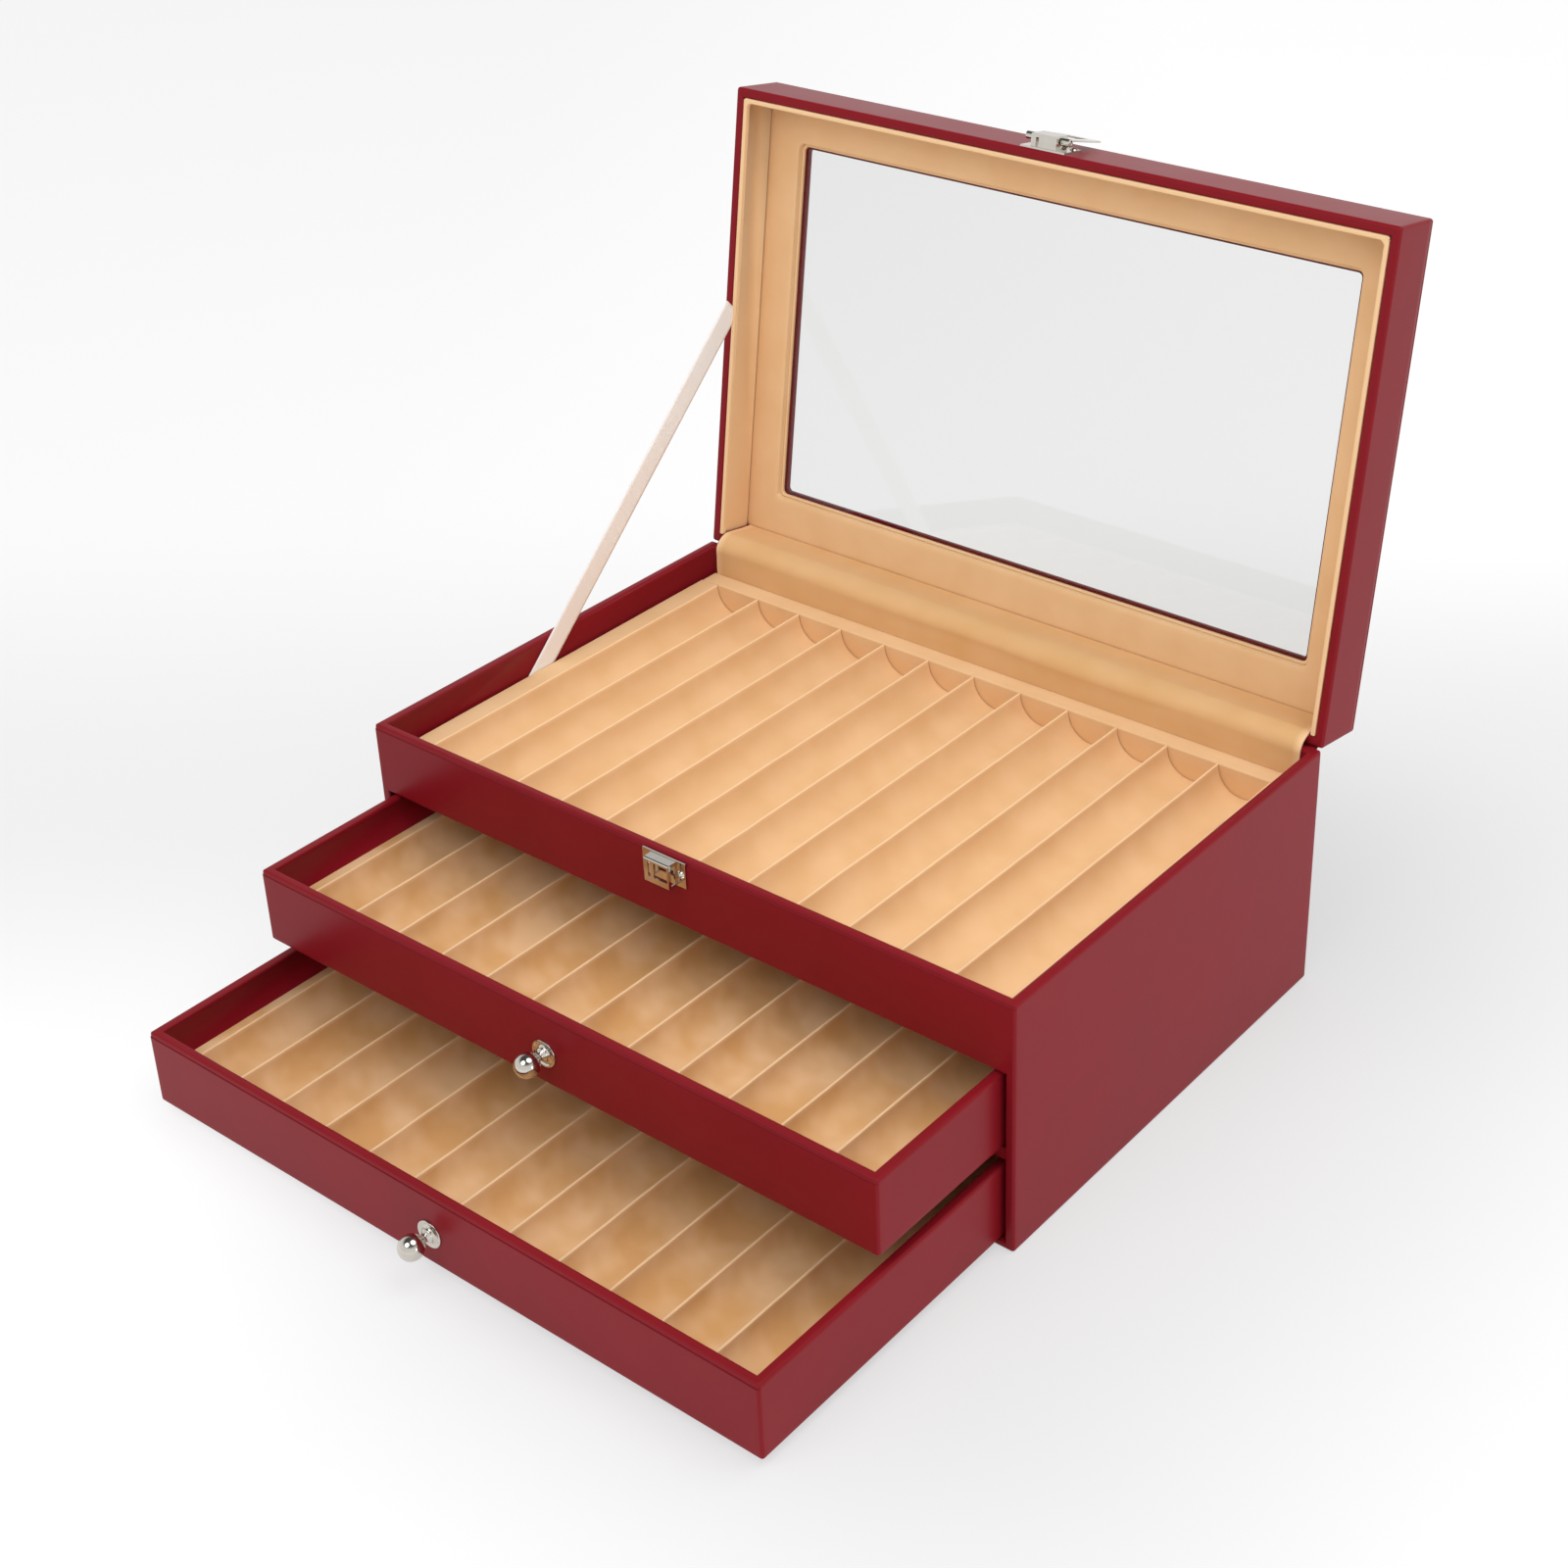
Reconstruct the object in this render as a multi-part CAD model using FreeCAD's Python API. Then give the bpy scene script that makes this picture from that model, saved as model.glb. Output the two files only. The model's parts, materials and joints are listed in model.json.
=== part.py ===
import FreeCAD, Part

import math
import os

# Pen collector chest: a leather-wrapped box with a glazed lid and two drawers.
#
# Frame, in millimetres: +Z up, +X to the right as seen from the front, the front
# faces -Y.  The origin is the centre of the underside.  The chest stands with its
# lid thrown open and both drawers part-way out, the middle one less far.

V = FreeCAD.Vector

# ---------------------------------------------------------------- carcass
CHEST_WIDTH = 340.0        # over the side panels
CHEST_DEPTH = 221.4        # front face to back face
CHEST_HEIGHT = 116.2       # underside to the rim that the lid closes on
BOARD = 4.5                # wrapped board of the walls
WRAP_EDGE = 1.2            # bevel of a wrapped edge
BASE_BOARD = 3.6           # board that the lower drawer runs on
DIVIDER_BOARD = 5.5        # board that the middle drawer runs on
DIVIDER_SETBACK = 2.0      # front edge of the divider behind the chest's face
SHELF_BOARD = 3.4          # board under the top pen tray

# ---------------------------------------------------------------- drawers
DRAWER_HEIGHT = 35.0
DRAWER_SIDE_GAP = 1.75     # to each side panel
DRAWER_UNDER_GAP = 0.3     # above the board that it runs on
LOWER_HEAD_GAP = 2.9       # over the lower drawer, under the divider
MIDDLE_HEAD_GAP = 1.3      # over the middle drawer, under the tray shelf
APRON_GAP = 0.7            # over the middle drawer, under the front apron
DRAWER_REAR_GAP = 1.5      # to the back panel, with the drawer shut
DRAWER_BOTTOM = 3.0        # bottom board
MIDDLE_DRAWER_OUT = 73.5   # how far each one stands open
LOWER_DRAWER_OUT = 139.7

# ---------------------------------------------------------------- pen trays
SLOT_COUNT = 12
SLOT_PITCH = 25.8
SLOT_RIDGE = 1.2           # thickness of the ridge between two slots
RIDGE_EASE = 0.45          # bevel each side of its crest
SLOT_DEPTH = 13.0
SLOT_FLOOR = 1.8           # tray under the deepest line of a slot
TOP_TRAY_END = 9.7         # strips that close the slots, front and rear
DRAWER_TRAY_END = 9.2
TRAY_GAP = 0.3             # tray to the walls around it
RIBBON_GAP = 1.2           # left edge of the top tray to the side panel

# ---------------------------------------------------------------- lid
LID_HEIGHT = 28.4
LID_ANGLE = 98.9           # how far the lid stands open
LID_SEAT_GAP = 0.15        # between the lid's rim and the chest's rim
LID_PANEL = 4.4            # wrapped panel around the window
LID_PANEL_EASE = 1.1       # bevel of its outer edge
WINDOW_X = 289.0           # opening in the outer panel
WINDOW_Y = 167.6
WINDOW_CORNER = 1.5
PANE_THICKNESS = 1.5
PANE_LAP = 4.0             # pane behind the panel, on each side
PANE_GAP = 0.3
PADDING = 4.0              # velvet-covered frame inside the lid
PADDING_SETBACK = 0.5      # its opening outside the panel's opening
PADDING_ROUND = 1.2
LINING = 1.0               # velvet on the walls inside the lid
LIP_WIDTH = 2.1            # thicker rim of that lining
LIP_HEIGHT = 2.6
LIP_ROUND = 0.7

# ---------------------------------------------------------------- soft hinge and ribbon
FLAP = 0.8                 # velvet flap over the hinge line
FLAP_INSET = 3.0           # its ends inside the side panels
FLAP_CLEAR = 0.1
FLAP_BEND = 4.0            # radius of its middle
STRIP = 0.6                # leather strip down the back
STRIP_REACH = 18.0         # on the chest and on the lid
STRIP_BEND = 2.0
STRIP_INSET = 3.0          # ends of the strip inside the chest's ends
RIBBON_WIDTH = 11.0
RIBBON = 0.4
RIBBON_FOOT = (-19.0, 104.7)   # y, z of its middle where it leaves the tray
RIBBON_LID_Y = 0.0         # y of its middle at the lid's rim, with the lid shut
RIBBON_TUCK = 9.0          # length hidden beside the tray
RIBBON_LID_TUCK = 6.0      # length hidden behind the lid's lining
RIBBON_SLOT = 0.2          # room around the ribbon behind the lining

# ---------------------------------------------------------------- hasp and catch
SHEET = 0.8                # metal sheet
PLATE_X = 22.8             # width of both base plates
CATCH_TOP = 1.1            # catch plate below the chest's rim
CATCH_PLATE_Z = 11.6
LOOP_X = 13.0              # width of the raised loop of each half
CATCH_LOOP_OUT = 5.5
CATCH_LOOP_Z = 11.0
CATCH_SLOT_X = 1.5         # narrow slot in the front of the catch
CATCH_SLOT_FROM = 2.0      # leg to the left of that slot
CATCH_BAR_X = 1.6          # bar between that slot and the wide opening
CATCH_WINDOW_Z = 7.6
HINGE_PLATE_RISE = 1.3     # hasp's plate above the lid's rim
HINGE_PLATE_Z = 13.4
HINGE_LOOP_OUT = 6.6
HINGE_LOOP_Z = 8.6
HINGE_LOOP_RISE = 1.9
HINGE_SLOT_X = 1.4         # slit in the near face of the raised loop
PIN_OUT = 4.5              # hasp's pin in front of the face
PIN_RISE = 6.0             # and above the lid's rim
PIN_RADIUS = 0.9
PIN_FIT = 0.1
KNUCKLE = 0.75             # wall of the hasp's rolled eyes
ARM_GAP = 0.5              # between the hinge loop and an arm
ARM_X = 4.1
ARM_OFFSET = 1.0           # arm's middle plane behind the pin
HASP_REACH = 25.0          # pin to the thumb edge
HASP_BAR_FROM = 19.2       # pin to the crossbar
HASP_SHUT_ANGLE = 187.0    # swing from resting on the lid to hooked on the catch
SCREW_X = 9.1              # screws either side of the middle
SCREW_HEAD = 1.9           # radius
SCREW_HEAD_HEIGHT = 1.1
SCREW_SHANK = 0.85         # radius
SCREW_LENGTH = 4.0         # into the board
SCREW_FIT = 0.05

# ---------------------------------------------------------------- drawer knobs
BALL_RADIUS = 5.3
BALL_OUT = 9.5             # centre of the ball in front of the drawer's face
KNOB_STEM = 1.9            # radius
KNOB_DROP = 2.5            # below the middle of the drawer's front
BALL_FLATS = 4             # turned flats from the front of the ball to its back
ROSETTE_RADIUS = 6.1
ROSETTE = 1.5
ROSETTE_RIM = 0.6          # height of its edge
ROSETTE_STEP = 1.5         # radial width of the step from there to its top
KNOB_SCREW = 1.5           # radius
KNOB_SCREW_IN = 6.0        # screwed this far into the knob
KNOB_SCREW_FIT = 0.1
KNOB_SCREW_HEAD = 3.0      # radius of its head, let into the back of the front
KNOB_SCREW_HEAD_HEIGHT = 1.6

# ---------------------------------------------------------------- worked out
HALF_X = CHEST_WIDTH / 2
HALF_Y = CHEST_DEPTH / 2
INNER_X = HALF_X - BOARD
INNER_Y = HALF_Y - BOARD
RIM = CHEST_HEIGHT
TRAY_HEIGHT = SLOT_DEPTH + SLOT_FLOOR
LOWER_DRAWER_Z = BASE_BOARD + DRAWER_UNDER_GAP
DIVIDER_Z = LOWER_DRAWER_Z + DRAWER_HEIGHT + LOWER_HEAD_GAP
MIDDLE_DRAWER_Z = DIVIDER_Z + DIVIDER_BOARD + DRAWER_UNDER_GAP
APRON_Z = MIDDLE_DRAWER_Z + DRAWER_HEIGHT + APRON_GAP
SHELF_Z = MIDDLE_DRAWER_Z + DRAWER_HEIGHT + MIDDLE_HEAD_GAP
TOP_TRAY_Z = SHELF_Z + SHELF_BOARD
DRAWER_HALF_X = INNER_X - DRAWER_SIDE_GAP
DRAWER_REAR = INNER_Y - DRAWER_REAR_GAP
WALL_TOP = LID_HEIGHT - LID_PANEL
HINGE_LINE = V(0, HALF_Y, RIM)
PIN_LINE = V(0, -HALF_Y - PIN_OUT, RIM + PIN_RISE)
PLATE_HALF = PLATE_X / 2
LOOP_HALF = LOOP_X / 2

NODES = {}


def block(low, high):
    """Box between two corners."""
    return Part.makeBox(high[0] - low[0], high[1] - low[1], high[2] - low[2], V(*low))


def rounded(shape, radius, pick):
    """Round the edges whose middle point passes pick."""
    edges = [edge for edge in shape.Edges if pick(edge.CenterOfMass)]
    return shape.makeFillet(radius, edges)


def eased(shape, size, pick):
    """Chamfer the edges whose middle point passes pick."""
    edges = [edge for edge in shape.Edges if pick(edge.CenterOfMass)]
    return shape.makeChamfer(size, edges)


def face_edges(axis, value):
    """Pick the edges that lie in the plane axis = value."""
    return lambda point: abs(point[axis] - value) < 1e-4


def edge_line(axis_a, value_a, axis_b, value_b):
    """Pick the one edge where two planes of a box meet."""
    pick_a = face_edges(axis_a, value_a)
    pick_b = face_edges(axis_b, value_b)
    return lambda point: pick_a(point) and pick_b(point)


def prism_x(points, x_from, x_to):
    """Closed outline of (y, z) points, pushed along X."""
    corners = [V(x_from, y, z) for y, z in points]
    wire = Part.makePolygon(corners + corners[:1])
    return Part.Face(wire).extrude(V(x_to - x_from, 0, 0))


def opened(shape):
    """Swing a piece of the shut lid up to where the lid stands."""
    return shape.rotated(HINGE_LINE, V(-1, 0, 0), LID_ANGLE)


def rod_y(radius, x, z, y_from, y_to):
    """Round rod along Y."""
    return Part.makeCylinder(radius, y_to - y_from, V(x, y_from, z), V(0, 1, 0))


def turned(outline, x, z):
    """Solid turned about a line along Y, from points (distance out in front, radius)."""
    points = [V(x, -out, z + radius) for out, radius in outline]
    face = Part.Face(Part.makePolygon(points + points[:1]))
    return face.revolve(V(x, 0, z), V(0, 1, 0), 360)


def keep(name, shape):
    """Name one node of the chest."""
    NODES[name] = shape


# ---------------------------------------------------------------- pieces of the chest
def carcass():
    """Boards of the chest, butted and wrapped in one skin."""
    base = block((-INNER_X, -HALF_Y, 0), (INNER_X, INNER_Y, BASE_BOARD))
    keep("base_panel", eased(base, WRAP_EDGE, edge_line(1, -HALF_Y, 2, 0)))

    for name, side in (("left_side_panel", -1), ("right_side_panel", 1)):
        x_low, x_high = sorted((side * INNER_X, side * HALF_X))
        panel = block((x_low, -HALF_Y, 0), (x_high, HALF_Y, RIM))
        front_top = edge_line(1, -HALF_Y, 2, RIM)

        def wrapped_edge(point, side=side, front_top=front_top):
            return abs(point.x - side * HALF_X) < 1e-4 or front_top(point)
        keep(name, eased(panel, WRAP_EDGE, wrapped_edge))

    back = block((-INNER_X, INNER_Y, 0), (INNER_X, HALF_Y, RIM))
    keep("back_panel", eased(back, WRAP_EDGE, edge_line(1, HALF_Y, 2, 0)))

    apron = block((-INNER_X, -HALF_Y, APRON_Z), (INNER_X, -INNER_Y, RIM))

    def long_edge(point):
        return abs(point.y + HALF_Y) < 1e-4 and abs(point.x) < 1e-4
    apron = eased(apron, WRAP_EDGE, long_edge)
    for x in (-SCREW_X, SCREW_X):
        apron = apron.cut(screw_hole(x, catch_screw_z(), 1))
    keep("front_apron", apron)

    divider = block((-INNER_X, DIVIDER_SETBACK - HALF_Y, DIVIDER_Z),
                    (INNER_X, INNER_Y, DIVIDER_Z + DIVIDER_BOARD))
    keep("divider_shelf", divider)
    keep("tray_shelf", block((-INNER_X, -INNER_Y, SHELF_Z), (INNER_X, INNER_Y, TOP_TRAY_Z)))


def slot_cutter(x, y_from, y_to, top):
    """Round-bottomed slot for one pen, open upwards."""
    radius = (SLOT_PITCH - SLOT_RIDGE) / 2
    centre_z = top - SLOT_DEPTH + radius
    round_part = rod_y(radius, x, centre_z, y_from, y_to)
    straight = block((x - radius, y_from, centre_z), (x + radius, y_to, top + 1))
    return round_part.fuse(straight).removeSplitter()


def pen_tray(low, high, end):
    """Velvet-covered insert with a row of slots, and the strip that closes each end."""
    y_from = low[1] + end
    y_to = high[1] - end
    insert = block((low[0], y_from, low[2]), (high[0], y_to, high[2]))
    first = -(SLOT_COUNT - 1) * SLOT_PITCH / 2
    for index in range(SLOT_COUNT):
        insert = insert.cut(slot_cutter(first + index * SLOT_PITCH, y_from, y_to, high[2]))
    row_half = SLOT_COUNT * SLOT_PITCH / 2
    middle_y = (y_from + y_to) / 2

    def slot_rim(point):
        on_top = abs(point.z - high[2]) < 1e-4
        return on_top and abs(point.x) < row_half and abs(point.y - middle_y) < 1e-3
    return {"pen_tray": eased(insert, RIDGE_EASE, slot_rim),
            "tray_front_strip": block(low, (high[0], y_from, high[2])),
            "tray_rear_strip": block((low[0], y_to, low[2]), high)}


def top_tray():
    low = (-INNER_X + RIBBON_GAP, -INNER_Y + TRAY_GAP, TOP_TRAY_Z)
    high = (INNER_X - TRAY_GAP, INNER_Y - TRAY_GAP, TOP_TRAY_Z + TRAY_HEIGHT)
    for name, shape in pen_tray(low, high, TOP_TRAY_END).items():
        keep("top_" + name, shape)


# ---------------------------------------------------------------- lid
def lid_boards():
    """Four walls and the window panel, in the shut position before opening."""
    bottom = RIM + LID_SEAT_GAP
    top = RIM + WALL_TOP
    for name, side in (("lid_left_wall", -1), ("lid_right_wall", 1)):
        x_low, x_high = sorted((side * INNER_X, side * HALF_X))
        wall = block((x_low, -HALF_Y, bottom), (x_high, HALF_Y, top))

        def outer_edge(point, side=side):
            return abs(point.x - side * HALF_X) < 1e-4 and point.z < top - 1e-4
        keep(name, opened(eased(wall, WRAP_EDGE, outer_edge)))

    front = block((-INNER_X, -HALF_Y, bottom), (INNER_X, -INNER_Y, top))
    front = eased(front, WRAP_EDGE, edge_line(1, -HALF_Y, 2, bottom))
    for x in (-SCREW_X, SCREW_X):
        front = front.cut(screw_hole(x, hinge_screw_z(), 1))
    keep("lid_front_wall", opened(front))

    back = block((-INNER_X, INNER_Y, bottom), (INNER_X, HALF_Y, top))
    keep("lid_back_wall", opened(back))
    keep("lid_window_panel", opened(window_panel()))
    keep("window_pane", opened(pane_block(PANE_LAP, top)))
    keep("window_lining", opened(window_lining()))
    keep("lid_wall_lining", opened(wall_lining()))


def window_hole(grow, z_from, z_to):
    """Upright prism of the window's opening, with its corners rounded."""
    x = WINDOW_X / 2 + grow
    y = WINDOW_Y / 2 + grow
    hole = block((-x, -y, z_from), (x, y, z_to))
    upright = [edge for edge in hole.Edges if abs(edge.tangentAt(0).z) > 0.5]
    return hole.makeFillet(WINDOW_CORNER, upright)


def window_panel():
    low = RIM + WALL_TOP
    high = RIM + LID_HEIGHT
    panel = block((-HALF_X, -HALF_Y, low), (HALF_X, HALF_Y, high))

    def upright_edge(point):
        return low + 1e-4 < point.z < high - 1e-4
    panel = eased(panel, WRAP_EDGE, upright_edge)
    panel = eased(panel, LID_PANEL_EASE, face_edges(2, high))
    rebate = pane_block(PANE_LAP + PANE_GAP, low)
    panel = panel.cut(window_hole(0, low - 1, high + 1))
    panel = eased(panel, WRAP_EDGE, window_rim(high))
    return panel.cut(rebate)


def window_rim(z):
    """Pick the edges of the window's opening at height z."""
    def pick(point):
        inside = abs(point.x) < WINDOW_X / 2 + 1 and abs(point.y) < WINDOW_Y / 2 + 1
        return inside and abs(point.z - z) < 1e-4
    return pick


def pane_block(lap, low):
    """Square-cornered sheet that reaches past the opening by lap."""
    x = WINDOW_X / 2 + lap
    y = WINDOW_Y / 2 + lap
    return block((-x, -y, low), (x, y, low + PANE_THICKNESS))


def window_lining():
    """Padded frame under the pane, rounded towards the inside of the lid."""
    high = RIM + WALL_TOP
    low = high - PADDING
    frame = block((-INNER_X, -INNER_Y, low), (INNER_X, INNER_Y, high))
    frame = frame.cut(window_hole(PADDING_SETBACK, low - 1, high + 1))
    return eased(frame, PADDING_ROUND, window_rim(low))


def wall_lining():
    """Velvet on the front and side walls of the lid, with a thicker lip at the rim."""
    low = RIM + LID_SEAT_GAP
    high = RIM + WALL_TOP - PADDING
    rear = INNER_Y
    outer = block((-INNER_X, -INNER_Y, low), (INNER_X, rear, high))
    hollow = block((LINING - INNER_X, LINING - INNER_Y, low), (INNER_X - LINING, rear, high))
    lip_top = low + LIP_HEIGHT
    lip = block((-INNER_X, -INNER_Y, low), (INNER_X, rear, lip_top))
    lip_hollow = block((LIP_WIDTH - INNER_X, LIP_WIDTH - INNER_Y, low),
                       (INNER_X - LIP_WIDTH, rear, lip_top))
    lip = lip.cut(lip_hollow)

    def lip_edge(point):
        inside = abs(point.x) < INNER_X - LIP_WIDTH + 1e-3
        return inside and point.y > LIP_WIDTH - INNER_Y - 1e-3 and point.y < rear - 1e-3 \
            and abs(point.z - low) < 1e-4
    lip = rounded(lip, LIP_ROUND, lip_edge)
    lining = outer.cut(hollow).fuse(lip).removeSplitter()
    return lining.cut(shut_ribbon_slot())


# ---------------------------------------------------------------- soft hinge and ribbon
def bent_sheet(inner_path, radius, thickness, x_half):
    """Sheet bent once.

    inner_path holds the middle line's two ends and its corner as (y, z).
    """
    start, corner, end = [V(0, y, z) for y, z in inner_path]
    into = (start - corner).normalize()
    out = (end - corner).normalize()
    half_angle = into.getAngle(out) / 2
    run = radius / math.tan(half_angle)
    first = corner + into * run
    last = corner + out * run
    bisector = (into + out).normalize()
    centre = corner + bisector * (radius / math.sin(half_angle))
    middle = centre - bisector * radius
    halves = [thick_side(start, first, centre, middle, last, end, side * thickness / 2)
              for side in (-1, 1)]
    outline = halves[0] + [Part.LineSegment(halves[0][-1].EndPoint, halves[1][-1].EndPoint)]
    outline += [flipped(edge) for edge in reversed(halves[1])]
    outline.append(Part.LineSegment(halves[1][0].StartPoint, halves[0][0].StartPoint))
    face = Part.Face(Part.Wire([edge.toShape() for edge in outline]))
    solid = face.extrude(V(2 * x_half, 0, 0))
    solid.translate(V(-x_half, 0, 0))
    return solid


def thick_side(start, first, centre, middle, last, end, offset):
    """One long side of a bent sheet's outline."""
    def shifted(point, anchor):
        return point + (anchor - centre).normalize() * offset
    return [Part.LineSegment(shifted(start, first), shifted(first, first)),
            Part.Arc(shifted(first, first), shifted(middle, middle), shifted(last, last)),
            Part.LineSegment(shifted(last, last), shifted(end, last))]


def flipped(edge):
    """The same curve, run the other way."""
    if isinstance(edge, Part.LineSegment):
        return Part.LineSegment(edge.EndPoint, edge.StartPoint)
    middle = edge.value((edge.FirstParameter + edge.LastParameter) / 2)
    return Part.Arc(edge.EndPoint, middle, edge.StartPoint)


def lid_point(y, rise):
    """(y, z) in the open position of a point of the shut lid."""
    angle = math.radians(LID_ANGLE)
    dy = y - HALF_Y
    return (HALF_Y + dy * math.cos(angle) + rise * math.sin(angle),
            RIM - dy * math.sin(angle) + rise * math.cos(angle))


def crossing(y, point, angle):
    """z where a line through point, falling away backwards, meets the plane y."""
    return point[1] + (point[0] - y) * math.tan(angle)


def soft_hinge():
    """Velvet flap inside and leather strip outside, which together are the hinge."""
    fall = math.radians(LID_ANGLE - 90)
    y_flap = INNER_Y - FLAP_CLEAR - FLAP / 2
    on_lid = lid_point(y_flap, LIP_HEIGHT)
    end = lid_point(y_flap, WALL_TOP - PADDING - FLAP_CLEAR)
    path = [(y_flap, TOP_TRAY_Z + TRAY_HEIGHT + FLAP_CLEAR),
            (y_flap, crossing(y_flap, on_lid, fall)), end]
    keep("hinge_lining", bent_sheet(path, FLAP_BEND, FLAP, INNER_X - FLAP_INSET))

    y_strip = HALF_Y + STRIP / 2
    on_lid = lid_point(y_strip, 0)
    end = lid_point(y_strip, STRIP_REACH)
    path = [(y_strip, RIM - STRIP_REACH), (y_strip, crossing(y_strip, on_lid, fall)), end]
    keep("leather_hinge", bent_sheet(path, STRIP_BEND, STRIP, HALF_X - STRIP_INSET))


def ribbon_ends():
    """Middle of the ribbon where it leaves the tray and where it meets the lid's rim."""
    foot = V(0, *RIBBON_FOOT)
    head = V(0, *lid_point(RIBBON_LID_Y, 0))
    return foot, head


def ribbon_blade(from_before_foot, past_head, width, thickness):
    """Straight flat band along the ribbon's line, beside the left walls."""
    foot, head = ribbon_ends()
    along = (head - foot).normalize()
    across = V(0, -along.z, along.y) * (width / 2)
    start = foot - along * from_before_foot
    end = head + along * past_head
    middle_x = -INNER_X + RIBBON_GAP / 2
    corners = [start - across, end - across, end + across, start + across]
    return prism_x([(p.y, p.z) for p in corners],
                   middle_x - thickness / 2, middle_x + thickness / 2)


def lid_ribbon():
    keep("lid_ribbon", ribbon_blade(RIBBON_TUCK, RIBBON_LID_TUCK, RIBBON_WIDTH, RIBBON))


def shut_ribbon_slot():
    """Pocket for the ribbon's end behind the lining, in the shut lid's position."""
    room = ribbon_blade(0, RIBBON_LID_TUCK + RIBBON_SLOT, RIBBON_WIDTH + 2 * RIBBON_SLOT,
                        RIBBON + 2 * RIBBON_SLOT)
    return room.rotated(HINGE_LINE, V(1, 0, 0), LID_ANGLE)


# ---------------------------------------------------------------- hasp and catch
def catch_screw_z():
    return RIM - CATCH_TOP - CATCH_PLATE_Z / 2


def hinge_screw_z():
    return RIM + HINGE_PLATE_RISE + HINGE_PLATE_Z - SCREW_HEAD - 1


def screw_hole(x, z, extra):
    """Hole for a small wood screw in a front board."""
    return rod_y(SCREW_SHANK + SCREW_FIT, x, z, -HALF_Y - SHEET - extra,
                 -HALF_Y + SCREW_LENGTH + SCREW_FIT)


def plate_screw(x, z):
    """Small screw, driven backwards through a plate."""
    seat = HALF_Y + SHEET
    top = seat + SCREW_HEAD_HEIGHT
    tip = HALF_Y - SCREW_LENGTH
    outline = [(top, 0), (top, SCREW_HEAD), (seat, SCREW_HEAD), (seat, SCREW_SHANK),
               (tip, SCREW_SHANK), (tip, 0)]
    return turned(outline, x, z)


def base_plate(z_low, z_high, screw_z):
    """Flat plate on the front face, with two screw holes."""
    plate = block((-PLATE_HALF, -HALF_Y - SHEET, z_low), (PLATE_HALF, -HALF_Y, z_high))
    for x in (-SCREW_X, SCREW_X):
        plate = plate.cut(screw_hole(x, screw_z, 1))
    return plate


def catch():
    """Catch on the chest: a plate with a raised loop that the hasp drops over."""
    top = RIM - CATCH_TOP
    face = -HALF_Y
    out = face - CATCH_LOOP_OUT
    loop_top = top - SHEET / 2
    loop_low = loop_top - CATCH_LOOP_Z
    plate = base_plate(top - CATCH_PLATE_Z, top, catch_screw_z())
    shell = block((-LOOP_HALF, out, loop_low), (LOOP_HALF, face, loop_top))
    shell = rounded(shell, SHEET, edge_line(1, out, 2, loop_top))
    hollow = block((SHEET - LOOP_HALF, out + SHEET, loop_low - 1),
                   (LOOP_HALF - SHEET, face - SHEET, loop_top - SHEET))
    left = -LOOP_HALF + CATCH_SLOT_FROM
    bar = left + CATCH_SLOT_X
    low = loop_top - SHEET - CATCH_WINDOW_Z
    slot = block((left, out - 1, low), (bar, out + SHEET + 1, loop_top - 2 * SHEET))
    wide = block((bar + CATCH_BAR_X, out - 1, low),
                 (LOOP_HALF - SHEET, out + SHEET + 1, loop_top - 2 * SHEET))
    side = block((-LOOP_HALF - 1, out + 2 * SHEET, loop_low + SHEET),
                 (LOOP_HALF + 1, face - 2 * SHEET, loop_top - 2 * SHEET))
    loop = shell.cut(hollow).cut(slot).cut(wide).cut(side)
    keep("catch_plate", plate.fuse(loop).removeSplitter())
    screws = [plate_screw(x, catch_screw_z()) for x in (-SCREW_X, SCREW_X)]
    keep("catch_screws", Part.makeCompound(screws))


def hasp_bracket():
    """Plate on the lid with a raised loop that carries the pin."""
    face = -HALF_Y
    low = RIM + HINGE_PLATE_RISE
    out = face - HINGE_LOOP_OUT
    loop_low = RIM + HINGE_LOOP_RISE
    loop_high = loop_low + HINGE_LOOP_Z
    plate = base_plate(low, low + HINGE_PLATE_Z, hinge_screw_z())
    shell = block((-LOOP_HALF, out, loop_low), (LOOP_HALF, face, loop_high))

    def long_edge(point):
        return abs(point.y - out) < 1e-4 and abs(abs(point.x) - LOOP_HALF) < 1e-4
    shell = rounded(shell, SHEET, long_edge)
    hollow = block((SHEET - LOOP_HALF, out + SHEET, loop_low - 1),
                   (LOOP_HALF - SHEET, face - SHEET, loop_high + 1))
    near = block((SHEET - LOOP_HALF, out + SHEET, loop_low),
                 (LOOP_HALF - SHEET, face - SHEET, loop_low + SHEET))
    slit = block((-LOOP_HALF / 2 - HINGE_SLOT_X / 2, out + 2 * SHEET, loop_low - 1),
                 (-LOOP_HALF / 2 + HINGE_SLOT_X / 2, face - SHEET, loop_low + SHEET + 1))
    bracket = plate.fuse(shell.cut(hollow)).fuse(near.cut(slit)).removeSplitter()
    bore = Part.makeCylinder(PIN_RADIUS + PIN_FIT, 2 * PLATE_HALF, PIN_LINE + V(-PLATE_HALF, 0, 0),
                             V(1, 0, 0))
    keep("hasp_bracket", opened(bracket.cut(bore)))
    screws = [plate_screw(x, hinge_screw_z()) for x in (-SCREW_X, SCREW_X)]
    keep("hasp_screws", opened(Part.makeCompound(screws)))


def arm_span():
    """x range of one arm of the hasp."""
    return LOOP_HALF + ARM_GAP, LOOP_HALF + ARM_GAP + ARM_X


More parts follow.
